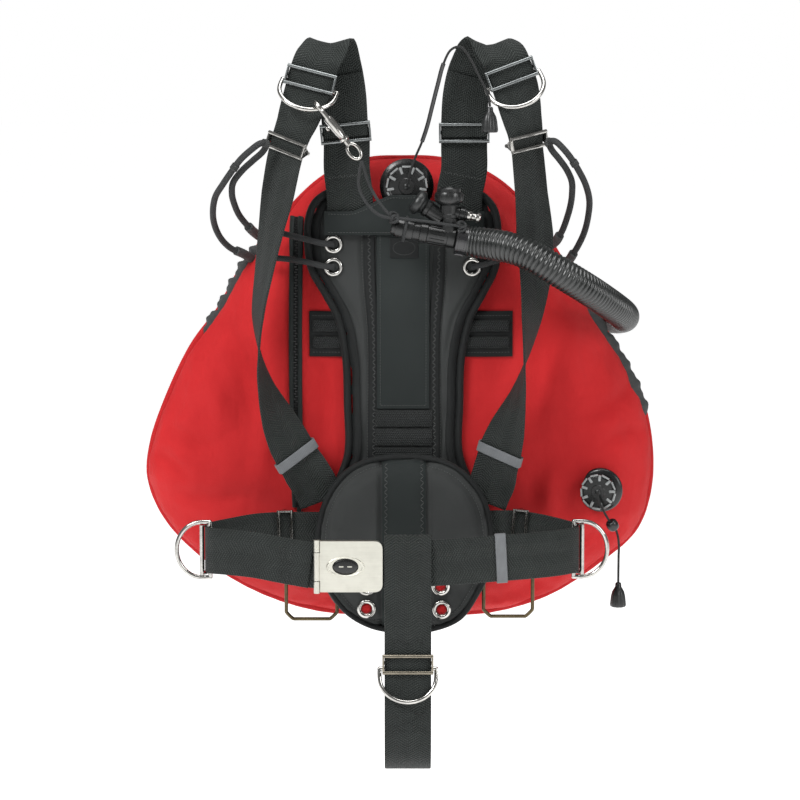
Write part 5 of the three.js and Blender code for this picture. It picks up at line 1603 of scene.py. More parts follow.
@dataclass
class LumbarPad:
    """The domed pad at the small of the back, with piping, a sewn centre band and eyelets."""

    back: float = -0.0262
    start_thickness: float = 0.0105
    band_half: float = 0.0255

    def build(self) -> None:
        """Builds every piece of the lumbar pad."""
        pad = outline_slab("lumbar_pad_soft", LUMBAR_OUTLINE, self.back, self.start_thickness, 0.0042,
                           grow=-0.0025)
        Inflation(voxel=0.0048, pressure=3.5, reach=0.0048, tension=25.0).run(pad)
        seams = [[(s * self.band_half, -0.458), (s * self.band_half, -0.55), (s * self.band_half, -0.64)]
                 for s in (-1, 1)]
        groove(pad, seams, 0.0030, 0.0030)
        edge = [(x * 0.90, -0.548 + (z + 0.548) * 0.90) for x, z in LUMBAR_OUTLINE]
        groove(pad, [edge], 0.0022, 0.0028, closed=True)
        ruffle(pad, 0.0008, 45.0, 6.0)
        add(pad, PAD_CLOTH, instead_of=("lumbar_pad",))
        ground = Ground(pad)
        piping = Route([(x * 0.985, -0.0335, -0.548 + (z + 0.548) * 0.985) for x, z in LUMBAR_OUTLINE],
                       closed=True)
        add(Builder.tube("lumbar_piping", piping, 0.0062, 220, 14, loop=True), BINDING)
        add(stitch("lumbar_edge_seam", spots_on(ground, edge, 0.0002, closed=True), 0.0034), GREY_THREAD)
        band = ground.strip("lumbar_band", [(0.0, -0.457), (0.0, -0.55), (0.0, -0.640)],
                            2 * self.band_half - 0.004, 0.0016,
                            0.0002, across=8)
        add(band, PANEL_CLOTH)
        for s, name in ((-1, "left"), (1, "right")):
            x = s * (self.band_half - 0.006)
            spots = spots_on(ground, [(x, -0.460), (x, -0.55), (x, -0.637)], 0.0016)
            add(stitch(f"lumbar_zigzag_{name}", spots, 0.0036, ThreadRow.ZIGZAG, 0.002), GREY_THREAD)
        for k, (x, z) in enumerate(((-0.041, -0.620), (0.041, -0.621), (0.040, -0.595), (-0.041, -0.595))):
            eyelet(f"lumbar_eyelet_{k}", along(ground.point(x, z, 0.0012), (0, -1, 0)))
            disc = Builder.turned([(0, 0), (0.0056, 0), (0.0056, 0.0006), (0, 0.0006)],
                                  along(ground.point(x, z, 0.0006), (0, -1, 0)), 24)
            add(finish_mesh(disc, f"lumbar_eyelet_red_{k}"), RED_TAPE)


# ---------------------------------------------------------------- webbing and steel
FRONT, UP, RIGHT = Vector((0, -1, 0)), Vector((0, 0, 1)), Vector((1, 0, 0))
WEBBING_WIDTH, WEBBING_THICKNESS = 0.050, 0.0024
STRAP_STEPS, BELT_STEPS = 52, 38


def strap_piece(name: str, strap: StrapRoute, start: float = 0.0, end: float = 1.0, steps: int = 150,
                width: float = WEBBING_WIDTH, thickness: float = WEBBING_THICKNESS, lift: float = 0.0,
                cup: float = 0.0) -> bpy.types.Object:
    """A length of webbing along a strap's path.

    Args:
        name: the new object's name.
        strap: the path.
        start: share of the path where it starts.
        end: share of the path where it ends.
        steps: slices along it.
        width: its width.
        thickness: its thickness.
        lift: how far it lies off the path, along the strap's normal.
        cup: how far its middle stands out from its edges.

    Returns:
        The new object.
    """
    frames = []
    for i in range(steps + 1):
        station = strap.station(start + (end - start) * i / steps)
        frames.append(frame_of(station.width, station.normal, station.tangent,
                               station.centre + station.normal * lift))
    section = ribbon_section(width, thickness, 12)
    half = width / 2
    section = [(x, y + cup * (1 - (x / half) ** 2)) for x, y in section]
    return Builder.sweep(name, frames, section, strap.route.length * abs(end - start))


def cross_spots(strap: StrapRoute, side: float, share: float, half: float = 0.021, lift: float = 0.0,
                lean: float = 0.0) -> list[tuple[Vector, Vector]]:
    """Points for a seam that runs across a strap, or leans along it."""
    spots = []
    for i in range(13):
        across = -half + 2 * half * i / 12
        station = strap.station(share + lean * across / strap.route.length)
        normal = station.normal * side
        spots.append((station.centre + station.width * across + normal * (WEBBING_THICKNESS / 2 + lift),
                      normal))
    return spots


@dataclass(frozen=True)
class TriGlide:
    """A tri-glide: two bars in front of a strap, one behind it and a rounded cheek at each side."""

    pitch: float = 0.009
    bar: float = 0.0040
    cheek: float = 0.0020
    inner: float = 0.0253
    clearance: float = 0.0011

    def build(self, name: str, place: Matrix, body: str = "root", finish: Finish = STEEL) -> None:
        """Builds the glide in a strap's frame in place of the frame's node of that name."""
        face = WEBBING_THICKNESS / 2 + self.clearance + self.bar / 2
        reach = self.inner + self.cheek
        parts = [Builder.bar(Vector((-reach, y, z)), Vector((reach, y, z)), self.bar / 2, 20)
                 for y, z in ((-face, self.pitch), (-face, -self.pitch), (face, 0.0))]
        for side in (-1, 1):
            cheek = bmesh.new()
            corners = [(-face, self.pitch), (-face, -self.pitch), (face, 0.0)]
            verts = [cheek.verts.new((side * self.inner, y, z)) for y, z in corners]
            plate = cheek.faces.new(verts)
            made = bmesh.ops.extrude_face_region(cheek, geom=[plate])
            moved = [g for g in made["geom"] if isinstance(g, bmesh.types.BMVert)]
            bmesh.ops.translate(cheek, verts=moved, vec=(side * self.cheek, 0, 0))
            bmesh.ops.recalc_face_normals(cheek, faces=cheek.faces)
            grown = Matrix.Diagonal((1, 1.35, 1.28, 1))
            bmesh.ops.transform(cheek, matrix=grown, verts=cheek.verts)
            long_edges = [e for e in cheek.edges if abs((e.verts[0].co - e.verts[1].co).normalized().x) > 0.9]
            bmesh.ops.bevel(cheek, geom=long_edges, offset=0.0028, segments=5, profile=0.5, affect="EDGES",
                            material=-1, clamp_overlap=True)
            soften(cheek, 0.0004, 2, 0.9)
            parts.append(cheek)
        whole = joined(parts)
        bmesh.ops.transform(whole, matrix=place, verts=whole.verts)
        add(sort_by_angle(whole, f"{name}_steel"), finish, body, (name,))


@dataclass(frozen=True)
class DRing:
    """A D-ring of bent and welded wire."""

    wire: float = 0.0048
    drop: float = 0.036
    straight: float = 0.009
    reach: float = 0.0253 + 0.0020 + 0.0003 + 0.0024 + 0.0003
    rest_gap: float = 0.0038

    @property
    def pivot(self) -> Vector:
        """The middle of the straight bar in a strap's frame."""
        return Vector((0, WEBBING_THICKNESS / 2 + 0.0011 + self.wire / 2, -0.009 * 0.72))

    @property
    def rest_lean(self) -> float:
        """How far a ring leans forward when it hangs."""
        rise = self.pivot.y + WEBBING_THICKNESS / 2 + self.wire / 2 + self.rest_gap
        return math.atan2(rise, self.drop - 0.004)

    def point(self, degrees: float, lean: float) -> Vector:
        """A point on the arc in a strap's frame."""
        turn = math.radians(degrees)
        low = -self.straight - (self.drop - self.straight) * math.sin(turn)
        flat = Vector((self.reach * math.cos(turn), 0, low))
        return Matrix.Rotation(-lean, 3, "X") @ flat + self.pivot

    def build(self, name: str, place: Matrix, lean: float, body: str) -> None:
        """Builds the ring in place of the frame's node of that name."""
        left, right = (Vector((s * self.reach, self.pivot.y, self.pivot.z)) for s in (-1, 1))
        path = [right, *(self.point(a, lean) for a in range(0, 181, 15)), left]
        frames = carried_frames(Route(path), 64)
        section = [(math.cos(TURN * k / 18) * self.wire / 2, math.sin(TURN * k / 18) * self.wire / 2)
                   for k in range(18)]
        bow = Builder.sweep("bow", frames, section, 0.12)
        parts = [taken(bow), Builder.bar(left, right, self.wire / 2, 18)]
        for end in (left, right):
            ball = bmesh.new()
            bmesh.ops.create_uvsphere(ball, u_segments=18, v_segments=12, radius=self.wire / 2 * 1.02)
            bmesh.ops.translate(ball, verts=ball.verts, vec=end)
            parts.append(ball)
        weld = Vector((left.x * 0.35, left.y, left.z))
        bead = Builder.turned([(self.wire / 2 * 0.9, -0.0016), (self.wire / 2 * 1.10, 0),
                               (self.wire / 2 * 0.9, 0.0016)], along(weld, (1, 0, 0)), 18)
        parts.append(bead)
        whole = joined(parts)
        bmesh.ops.transform(whole, matrix=place, verts=whole.verts)
        add(sort_by_angle(whole, f"{name}_steel"), STEEL, body, (name,))


def elastic_band(name: str, place: Matrix, slack: float) -> None:
    """A folded elastic keeper round a strap, in place of the frame's node of that name."""
    half = WEBBING_THICKNESS / 2 + slack + 0.0008
    wide = WEBBING_WIDTH / 2 + 0.0003 + 0.0008
    centre = []
    radius = min(half, 0.0018)
    for cx, cy, start in ((wide - radius, half - radius, 0), (-wide + radius, half - radius, 90),
                          (-wide + radius, -half + radius, 180), (wide - radius, -half + radius, 270)):
        for step in range(5):
            turn = math.radians(start + 22.5 * step)
            centre.append((cx + radius * math.cos(turn), cy + radius * math.sin(turn)))
    route = Route([(x, y, 0) for x, y in centre], closed=True)
    steps = 96
    frames = []
    for i in range(steps + 1):
        ahead = route.tangent((i % steps) / steps)
        outward = ahead.cross(Vector((0, 0, 1))).normalized()
        frames.append(place @ frame_of(Vector((0, 0, 1)), outward, ahead, route.at((i % steps) / steps)))
    band = Builder.sweep(f"{name}_band", frames, ribbon_section(0.0118, 0.0016, 8), route.length)
    add(band, ELASTIC, instead_of=(name,))


@dataclass
class Harness:
    """Shoulder straps, belt and crotch strap with their steel, keepers and seams."""

    ring: DRing = field(default_factory=DRing)
    glide: TriGlide = field(default_factory=TriGlide)
    small_glide: TriGlide = field(default_factory=lambda: TriGlide(pitch=0.007))
    clipped_extra: float = 0.4
    shoulder_extra: float = 0.24
    left_ring_frame: Optional[Matrix] = field(default=None, init=False)

    def __post_init__(self) -> None:
        """Lays the straps' paths."""
        self.left = StrapRoute(LEFT_STRAP, STRAP_STEPS, RIGHT, FRONT)
        self.right = StrapRoute(RIGHT_STRAP, STRAP_STEPS, RIGHT, -FRONT)
        self.left_belt = StrapRoute(LEFT_BELT, BELT_STEPS, UP, FRONT)
        self.right_belt = StrapRoute(RIGHT_BELT, BELT_STEPS, UP, FRONT)
        self.crotch = StrapRoute(CROTCH_STRAP, 46, RIGHT, FRONT)

    def build(self) -> None:
        """Builds every piece of the harness."""
        sides = (
            ("left", self.left, -0.059, (-0.101, -0.050, -0.048), (-0.122, -0.050, -0.112),
             (-0.118, -0.038, -0.449), -0.062, self.clipped_extra),
            ("right", self.right, 0.060, (0.116, -0.050, -0.044), (0.131, -0.048, -0.108),
             (0.104, -0.036, -0.452), 0.065, self.shoulder_extra),
        )
        for side, strap, low_x, ring_at, bungee_at, keeper_at, sewn_x, extra in sides:
            add(strap_piece(f"shoulder_webbing_{side}", strap, steps=220), WEBBING,
                instead_of=(f"shoulder_strap_{side}",))
            self._pad_strap(side, low_x, sewn_x)
            rear = strap.frame_at((sewn_x, -0.018, -0.100), FRONT)
            self.glide.build(f"rear_tri_glide_{side}", rear, finish=SATIN)
            ring_frame = strap.frame_at(ring_at, FRONT)
            if side == "left":
                self.left_ring_frame = ring_frame
            self.glide.build(f"shoulder_tri_glide_{side}", ring_frame, finish=SATIN)
            self.ring.build(f"shoulder_d_ring_{side}", ring_frame, self.ring.rest_lean + extra,
                            f"shoulder_ring_{side}")
            self.small_glide.build(f"bungee_tri_glide_{side}", strap.frame_at(bungee_at, FRONT))
            elastic_band(f"shoulder_keeper_{side}", strap.frame_at(keeper_at, FRONT), 0.0016)
            self._fold_over(side, strap)
        self._belts()
        self._crotch()

    def _pad_strap(self, side: str, low_x: float, sewn_x: float) -> None:
        """The sewn webbing that carries a rear tri-glide, with its bar tack."""
        y = -0.0135
        points = [(low_x, y, -0.205), (low_x, y, -0.170), (sewn_x, y - 0.0014, -0.142),
                  (sewn_x, -0.0150, -0.118),
                  (sewn_x, -0.0143, -0.096)]
        strap = StrapRoute(points, 8, RIGHT, FRONT)
        add(strap_piece(f"pad_webbing_{side}", strap, steps=40), WEBBING, instead_of=(f"pad_strap_{side}",))
        station = strap.station(0.5)
        face = 1.0 if station.normal.y < 0 else -1.0
        for k, share in enumerate((0.06, 0.14, 0.52)):
            spots = cross_spots(strap, face, share)
            add(stitch(f"pad_tack_{side}_{k}", spots, 0.0030, ThreadRow.ZIGZAG, 0.0016), GREY_THREAD)

    def _fold_over(self, side: str, strap: StrapRoute) -> None:
        """The doubled length of webbing that comes back under the shoulder, and its seams."""
        station = strap.station(0.14)
        face = 1.0 if station.normal.y < 0 else -1.0
        doubled = strap_piece(f"shoulder_double_{side}", strap, 0.012, 0.115, 50, width=0.0485,
                              thickness=0.0021,
                              lift=face * 0.00235)
        add(doubled, WEBBING)
        for k, share in enumerate((0.105, 0.111)):
            add(stitch(f"shoulder_tack_{side}_{k}", cross_spots(strap, face, share, lift=0.0023), 0.0028),
                THREAD)

    def _belts(self) -> None:
        """The waist belt with its rings, inner glides, keeper and sewn ends."""
        add(strap_piece("belt_webbing_left", self.left_belt, steps=150), WEBBING,
            instead_of=("waist_belt_left",))
        add(strap_piece("belt_webbing_right", self.right_belt, steps=190), WEBBING,
            instead_of=("waist_belt_right",))
        rows = (
            ("left", self.left_belt, (-0.214, -0.068, -0.548), (-0.127, -0.022, -0.541), -RIGHT),
            ("right", self.right_belt, (0.188, -0.068, -0.548), (0.121, -0.022, -0.539), RIGHT),
        )
        for side, belt, ring_at, inner_at, out in rows:
            place = belt.frame_at(ring_at, out)
            self.glide.build(f"waist_tri_glide_{side}", place)
            self.ring.build(f"waist_d_ring_{side}", place, math.pi / 2, f"waist_ring_{side}")
            self.small_glide.build(f"belt_tri_glide_{side}", belt.frame_at(inner_at, FRONT))
        elastic_band("belt_keeper", self.right_belt.frame_at((0.098, -0.112, -0.552), FRONT), 0.0003)
        face = 1.0 if self.left_belt.station(0.97).normal.y < 0 else -1.0
        for k, share in enumerate((0.900, 0.925)):
            spots = cross_spots(self.left_belt, face, share)
            add(stitch(f"belt_tack_left_{k}", spots, 0.0030, ThreadRow.ZIGZAG, 0.0018), THREAD)

    def _crotch(self) -> None:
        """The crotch strap with its glide, ring, sewn tail and boxed seam."""
        add(strap_piece("crotch_webbing", self.crotch, steps=220), WEBBING, instead_of=("crotch_strap",))
        place = Matrix.Translation((0.004, -0.1212, -0.664))
        self.glide.build("crotch_tri_glide", place, "crotch_glide", BRONZED)
        self.ring.build("crotch_d_ring", place, self.ring.rest_lean, "crotch_ring")
        ground = Ground(bpy.data.objects["crotch_webbing"])
        x, half = 0.004, 0.019
        top, low = -0.718, -0.738
        add(stitch("crotch_hem",
                   spots_on(ground, [(x - half, -0.5325), (x, -0.5325), (x + half, -0.5325)], 0.0002), 0.003),
            THREAD)
        zigzag = [(x - half, -0.640), (x, -0.640), (x + half, -0.640)]
        add(stitch("crotch_zigzag", spots_on(ground, zigzag, 0.0002), 0.0036, ThreadRow.ZIGZAG, 0.0024),
            THREAD)
        frame_lines = {
            "top": [(x - half, top), (x, top), (x + half, top)],
            "low": [(x - half, low), (x, low), (x + half, low)],
            "rise": [(x - half, low), (x, (top + low) / 2), (x + half, top)],
            "fall": [(x - half, top), (x, (top + low) / 2), (x + half, low)],
        }
        for name, line in frame_lines.items():
            add(stitch(f"crotch_box_{name}", spots_on(ground, line, 0.0002), 0.0030), THREAD)


@dataclass
class Buckle:
    """The cam buckle: satin plate with a plain oval badge in a raised rim."""

    badge: Point = (-0.0625, -0.1190, -0.559)
    half_width: float = 0.0185
    half_height: float = 0.0098

    def build(self) -> None:
        """Dresses the frame's buckle and adds the badge."""
        for node in ("buckle_cover", "buckle_frame"):
            redress(node, BRUSHED)
        redress("buckle_pin", STEEL)
        self._webbing_end()
        squeeze = Matrix.Diagonal((self.half_width, self.half_height, 1.0, 1.0))
        turned_flat = Matrix.Translation(Vector(self.badge)) @ Matrix.Rotation(math.radians(90), 4, "X")
        disc = Builder.turned([(0, -0.0008), (0.93, -0.0008), (0.93, 0.0004), (0.55, 0.0010), (0, 0.0013)],
                              turned_flat @ squeeze, 48)
        add(finish_mesh(disc, "badge_disc"), PLASTIC, "buckle_lever")
        rim = Builder.turned([(0.93, -0.0008), (1.04, -0.0008), (1.10, 0.0017), (1.04, 0.0024),
                              (0.97, 0.0022),
                              (0.93, 0.0010), (0.93, -0.0008)], turned_flat @ squeeze, 48)
        add(finish_mesh(rim, "badge_rim"), BRUSHED, "buckle_lever")
        x, y, z = self.badge
        bars = [Builder.box((0.0052, 0.0006, 0.0014), Matrix.Translation((x + side * 0.0045, y - 0.0010, z)),
                            0.0003)
                for side in (-1, 1)]
        add(sort_by_angle(joined(bars), "badge_bars"), BRUSHED, "buckle_lever")

    @staticmethod
    def _webbing_end() -> None:
        """The end of the left belt, folded round the frame's rear bar."""
        points = [(-0.112, -0.1117, -0.5565), (-0.103, -0.1127, -0.5578), (-0.096, -0.1134, -0.5590),
                  (-0.089, -0.1138, -0.5590)]
        fold = strap_piece("belt_fold", StrapRoute(points, 6, Vector((0, 0, 1)), FRONT), steps=20,
                           width=0.049)
        add(fold, WEBBING)


@dataclass
class Rails:
    """The two bent bronze wire rails under the belt."""

    y: float = -0.0144
    wire: float = 0.004

    def build(self) -> None:
        """Builds both rails."""
        self._rail("left", -0.130, -0.074, -0.637, -0.578)
        self._rail("right", 0.142, 0.088, -0.634, -0.576)

    @staticmethod
    def _square(points: Sequence[Point]) -> list[Vector]:
        """The same corners with close points beside each, so the runs between them stay straight."""
        spots = [Vector(p) for p in points]
        close = [spots[0]]
        for a, b in zip(spots, spots[1:]):
            if (b - a).length > 0.015:
                close += [a.lerp(b, 0.0015 / (b - a).length), b.lerp(a, 0.0015 / (b - a).length)]
            close.append(b)
        return close

    def _rail(self, side: str, outer: float, inner: float, low: float, top: float) -> None:
        """One rail, through the same corners as its frame node."""
        inward = 1 if inner > outer else -1
        y = self.y
        points = [(outer + inward * 0.020, y, top), (outer + inward * 0.006, y, top), (outer, y, top - 0.008),
                  (outer, y, low + 0.008), (outer + inward * 0.008, y, low), (inner - inward * 0.008, y, low),
                  (inner, y, low + 0.008), (inner, y, low + 0.042)]
        piece = Builder.tube(f"rail_{side}_wire", Route(self._square(points)), self.wire, 130, 16)
        add(piece, BRONZE, instead_of=(f"rail_{side}",))


# ---------------------------------------------------------------- cords and hose
@dataclass
class Cords:
    """Every free cord and the hose, with what hangs on them."""

    pull: float = 0.0026
    shock: float = 0.007
    hose: float = 0.034
    ribs: int = 76

    def build(self) -> None:
        """Builds the cords, the hose and the cord lock."""
        self._pull_cord("top_cord", TOP_CORD, "top_dump_pull", "top_pull_cord", "top_pull_knob")
        self._pull_cord("lower_cord", LOWER_CORD, "lower_dump_pull", "lower_pull_cord", "lower_pull_knob")
        self._bungee("left", LEFT_BUNGEE)
        self._bungee("right", RIGHT_BUNGEE)
        self._snap_cord()
        self._hose()
        self._cord_lock()

    def _pull_cord(self, name: str, points: Sequence[Point], body: str, node: str, knob: str) -> None:
        """A dump valve's pull cord with its knob."""
        route = Route(points)
        piece = Builder.tube(name, route, self.pull, 90, 12)
        add(piece, THIN_CORD, body, (node,))
        grip = self._knob(knob, Vector(points[-1]), body)
        walk = [tuple(route.at(i / 60)) for i in range(61)]

    @staticmethod
    def _knob(node: str, top: Vector, body: str) -> bpy.types.Object:
        """A bell-shaped rubber knob with flutes round its skirt."""
        z = -0.0003
        profile = [(0.0, z), (0.0026, z), (0.0033, z - 0.0012), (0.0035, z - 0.0045), (0.0050, z - 0.0070),
                   (0.0068, z - 0.0100), (0.0080, z - 0.0150), (0.0086, z - 0.0205), (0.0090, z - 0.0240),
                   (0.0086, z - 0.0262), (0.0074, z - 0.0270), (0.0062, z - 0.0262), (0.0, z - 0.0250)]
        bm = Builder.turned(profile, Matrix.Identity(4), 72)
        for vert in bm.verts:
            depth = min(1.0, max(0.0, (-vert.co.z - 0.0075) / 0.004))
            turn = math.atan2(vert.co.y, vert.co.x)
            dip = 1.0 - 0.10 * depth * (0.5 + 0.5 * math.cos(9 * turn)) ** 2
            vert.co.x *= dip
            vert.co.y *= dip
        bmesh.ops.translate(bm, verts=bm.verts, vec=top)
        return add(finish_mesh(bm, f"{node}_grip"), RUBBER, body, (node,))

    def _bungee(self, side: str, points: Sequence[Point]) -> None:
        """A loop of shock cord from the wing to the strap's glide and back, with its whipping."""
        route = Route(points)
        piece = Builder.tube(f"bungee_cord_{side}", route, self.shock, 190, 16)
        add(piece, SHOCK_CORD, instead_of=(f"bungee_{side}",))
        walk = [tuple(route.at(i / 120)) for i in range(121)]
        for k, share in enumerate((0.445, 0.575)):
            steps = 16
            span = 0.018
            short = [route.at(share + span * (i / steps - 0.5)) for i in range(steps + 1)]
            wrap = Builder.tube(f"bungee_wrap_{side}_{k}", Route(short), self.shock * 1.24, 40, 16,
                                five_bulges)
            add(wrap, BLACK_ELASTIC)

    def _snap_cord(self) -> None:
        """The cord from the bolt snap's eye to the end of the inflator."""
        outer = (SNAP_CORD[0], (-0.0475, -0.0730, -0.1430), (-0.0480, -0.0700, -0.1580),
                 (-0.0400, -0.0700, -0.1750),
                 (-0.0270, -0.0710, -0.1875), SNAP_CORD[-1])
        for name, points in (("snap_line", SNAP_CORD), ("snap_line_return", outer)):
            route = Route(points)
            piece = Builder.tube(name, route, 0.0034, 60, 14)
            WARDROBE.dress(piece, SHOCK_CORD)
            if points is SNAP_CORD:
                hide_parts("snap_cord")
            walk = [tuple(route.at(i / 40)) for i in range(41)]
            tuple(points[0])
            tuple(points[0])
            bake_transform(piece)

    def _hose(self) -> None:
        """The corrugated hose from the inflator to the elbow on the wing's rear."""
        route = Route(HOSE)
        turns = self.ribs

        def ribbed(share: float) -> tuple[float, float]:
            """The hose's size at a share of its length: plain cuffs, and round ribs between them."""
            cuff = min(1.0, min(share, 1 - share) * 22)
            wave = abs(math.sin(math.pi * turns * share))
            size = 0.86 + 0.14 * math.sqrt(wave) * cuff
            return size, size

        piece = Builder.tube("hose_corrugated", route, self.hose, turns * 8, 36, ribbed)
        add(piece, HOSE_RUBBER, instead_of=("corrugated_hose",))
        walk = [tuple(route.at(i / 100)) for i in range(101)]

    @staticmethod
    def _cord_lock() -> None:
        """The ball lock that slides on the lower cord."""
        middle, axis = Vector((0.2294, -0.0176, -0.5315)), Vector((0.52, 0.3, -0.8)).normalized()
        profile = [(0.0017, -0.0055), (0.0048, -0.0055), (0.0062, -0.0040), (0.0067, 0.0), (0.0060, 0.0040),
                   (0.0046, 0.0055), (0.0017, 0.0055), (0.0017, -0.0055)]
        add(finish_mesh(Builder.turned(profile, along(middle, axis), 36), "cord_lock_ball"), PLASTIC,
            "lower_dump_pull", ("cord_lock",))


# ---------------------------------------------------------------- inflator and valves
@dataclass
class Inflator:
    """The oral and power inflator with its buttons, mouthpiece, coupling and the hose's clamp."""

    y: float = -0.058
    radius: float = 0.0105

    def __post_init__(self) -> None:
        """Lays the axes that the frame's inflator follows."""
        self.start = Vector((-0.009, self.y, -0.2014))
        self.axis = (Vector((0.064, self.y, -0.2154)) - self.start).normalized()
        self.port = Vector((0.97, 0, -0.24)).normalized()
        self.mouth = Vector((-0.82, 0, 0.57)).normalized()

    def build(self) -> None:
        """Builds every piece of the inflator."""
        barrel = along(self.start, self.axis)
        r = self.radius
        profile = [(0, 0.0036), (r - 0.0012, 0.0036), (r - 0.0010, 0.0002), (r - 0.0003, 0.0), (r, 0.0008),
                   (r, 0.0080),
                   (r + 0.0016, 0.0086), (r + 0.0016, 0.0186), (r, 0.0192), (r, 0.0260), (r + 0.0011, 0.0268),
                   (r + 0.0011, 0.0340), (r, 0.0350), (r, 0.0560), (r + 0.0007, 0.0566), (r + 0.0007, 0.0640),
                   (r - 0.0004, 0.0656), (0, 0.0656)]
        parts = [Builder.turned(profile, barrel, 56)]
        for k in range(14):
            turn = Matrix.Rotation(TURN * k / 14, 4, "Z")
            ridge = Matrix.Translation((0, self.radius + 0.0005, 0.0450))
            parts.append(Builder.box((0.0014, 0.0012, 0.017), barrel @ turn @ ridge, 0.0004))
        stem = Vector((0.048, self.y, -0.208))
        stem_profile = [(0, 0), (0.0095, 0), (0.0095, 0.016), (0.0102, 0.017), (0.0102, 0.020),
                        (0.0095, 0.021),
                        (0.0095, 0.030), (0.0142, 0.0335), (0.0150, 0.0355), (0.0150, 0.0425),
                        (0.0143, 0.0440),
                        (0.0134, 0.0440), (0.0134, 0.0400), (0, 0.0400)]
        parts.append(Builder.turned(stem_profile, along(stem, (0, 0, 1)), 56))
        for k in range(20):
            turn = Matrix.Rotation(TURN * k / 20, 4, "Z")
            notch = Matrix.Translation((0, 0.0150, 0.039))
            parts.append(Builder.box((0.0022, 0.0010, 0.0060), along(stem, (0, 0, 1)) @ turn @ notch, 0.0004))
        port_base = Vector((0.048, self.y, -0.184))
        port_profile = [(0, 0), (0.0068, 0), (0.0068, 0.0110), (0.0080, 0.0118), (0.0080, 0.0165),
                        (0.0068, 0.0175),
                        (0.0068, 0.0196), (0.0060, 0.0200), (0, 0.0200)]
        parts.append(Builder.turned(port_profile, along(port_base, self.port), 40))
        mouth_base = Vector((0.040, self.y, -0.192))
        mouth_profile = [(0, 0), (0.0085, 0), (0.0085, 0.0160), (0.0096, 0.0170), (0.0096, 0.0205),
                         (0.0085, 0.0218),
                         (0, 0.0218)]
        parts.append(Builder.turned(mouth_profile, along(mouth_base, self.mouth), 40))
        add(sort_by_angle(joined(parts), "inflator_shell", 0.6), PLASTIC, instead_of=("inflator_body",))
        self._buttons()
        self._mouthpiece(mouth_base + self.mouth * 0.0223)
        self._coupling(port_base + self.port * 0.0203)
        self._clamp()
        self._retainer()

    def _buttons(self) -> None:
        """The deflate button in the barrel's end and the inflate button on the head."""
        r = self.radius - 0.0016
        end = [(0, -0.0050), (r * 0.55, -0.0049), (r * 0.70, -0.0044), (r * 0.92, -0.0046), (r, -0.0038),
               (r, 0.0060),
               (0, 0.0060)]
        add(sort_by_angle(Builder.turned(end, along(self.start, self.axis), 48), "deflate_cap", 0.6), PLASTIC,
            "oral_button", ("deflate_button",))
        head = Vector((0.048, self.y, -0.164))
        top = [(0, -0.0052), (0.0126, -0.0052), (0.0126, 0.0036), (0.0117, 0.0048), (0.0088, 0.0050),
               (0.0080, 0.0042),
               (0, 0.0038)]
        cap = [Builder.turned(top, along(head, (0, 0, 1)), 56)]
        for k in range(3):
            cap.append(Builder.box((0.0130, 0.0012, 0.0010),
                                   Matrix.Translation(head + Vector((0, (k - 1) * 0.004, 0.0042))),
                                   0.0004))
        add(sort_by_angle(joined(cap), "inflate_cap", 0.6), PLASTIC, "power_button", ("inflate_button",))

    def _mouthpiece(self, base: Vector) -> None:
        """The rubber mouthpiece with its rolled lip."""
        profile = [(0.0062, 0.0004), (0.0089, 0.0), (0.0092, 0.0020), (0.0112, 0.0034), (0.0132, 0.0044),
                   (0.0135, 0.0066), (0.0134, 0.0090), (0.0124, 0.0112), (0.0110, 0.0128), (0.0090, 0.0130),
                   (0.0074, 0.0118), (0.0066, 0.0090), (0.0062, 0.0004)]
        bm = Builder.turned(profile, along(base, self.mouth), 56)
        add(finish_mesh(bm, "mouthpiece_rubber"), RUBBER, instead_of=("mouthpiece",))

    def _coupling(self, base: Vector) -> None:
        """The steel nipple that a low-pressure hose snaps on to."""
        profile = [(0, 0), (0.0055, 0), (0.0055, 0.0036), (0.0050, 0.0042), (0.0041, 0.0050),
                   (0.0040, 0.0088),
                   (0.0046, 0.0096), (0.0056, 0.0102), (0.0056, 0.0126), (0.0050, 0.0138), (0.0030, 0.0145),
                   (0.0018, 0.0145), (0.0018, 0.0120), (0, 0.0120)]
        add(sort_by_angle(Builder.turned(profile, along(base, self.port), 40), "coupling_nipple", 0.7), STEEL,
            instead_of=("hose_nipple",))

    def _clamp(self) -> None:
        """The band that holds the hose on the barrel, with its ratchet head."""
        middle = self.start + self.axis * 0.072
        place = along(middle, self.axis)
        inner, outer = 0.0159, 0.0163
        profile = [(inner, -0.0060), (outer - 0.0004, -0.0060), (outer, -0.0056), (outer, -0.0036),
                   (outer - 0.0006, -0.0032),
                   (outer - 0.0006, 0.0032), (outer, 0.0036), (outer, 0.0056), (outer - 0.0004, 0.0060),
                   (inner, 0.0060),
                   (inner, -0.0060)]
        parts = [Builder.turned(profile, place, 64)]
        head = place @ Matrix.Rotation(math.radians(-60), 4, "Z") @ Matrix.Translation((0, outer - 0.0004, 0))
        parts.append(Builder.box((0.0120, 0.0034, 0.0098), head, 0.0010))
        add(sort_by_angle(joined(parts), "clamp_band", 0.6), GLOSSY, instead_of=("hose_clamp",))

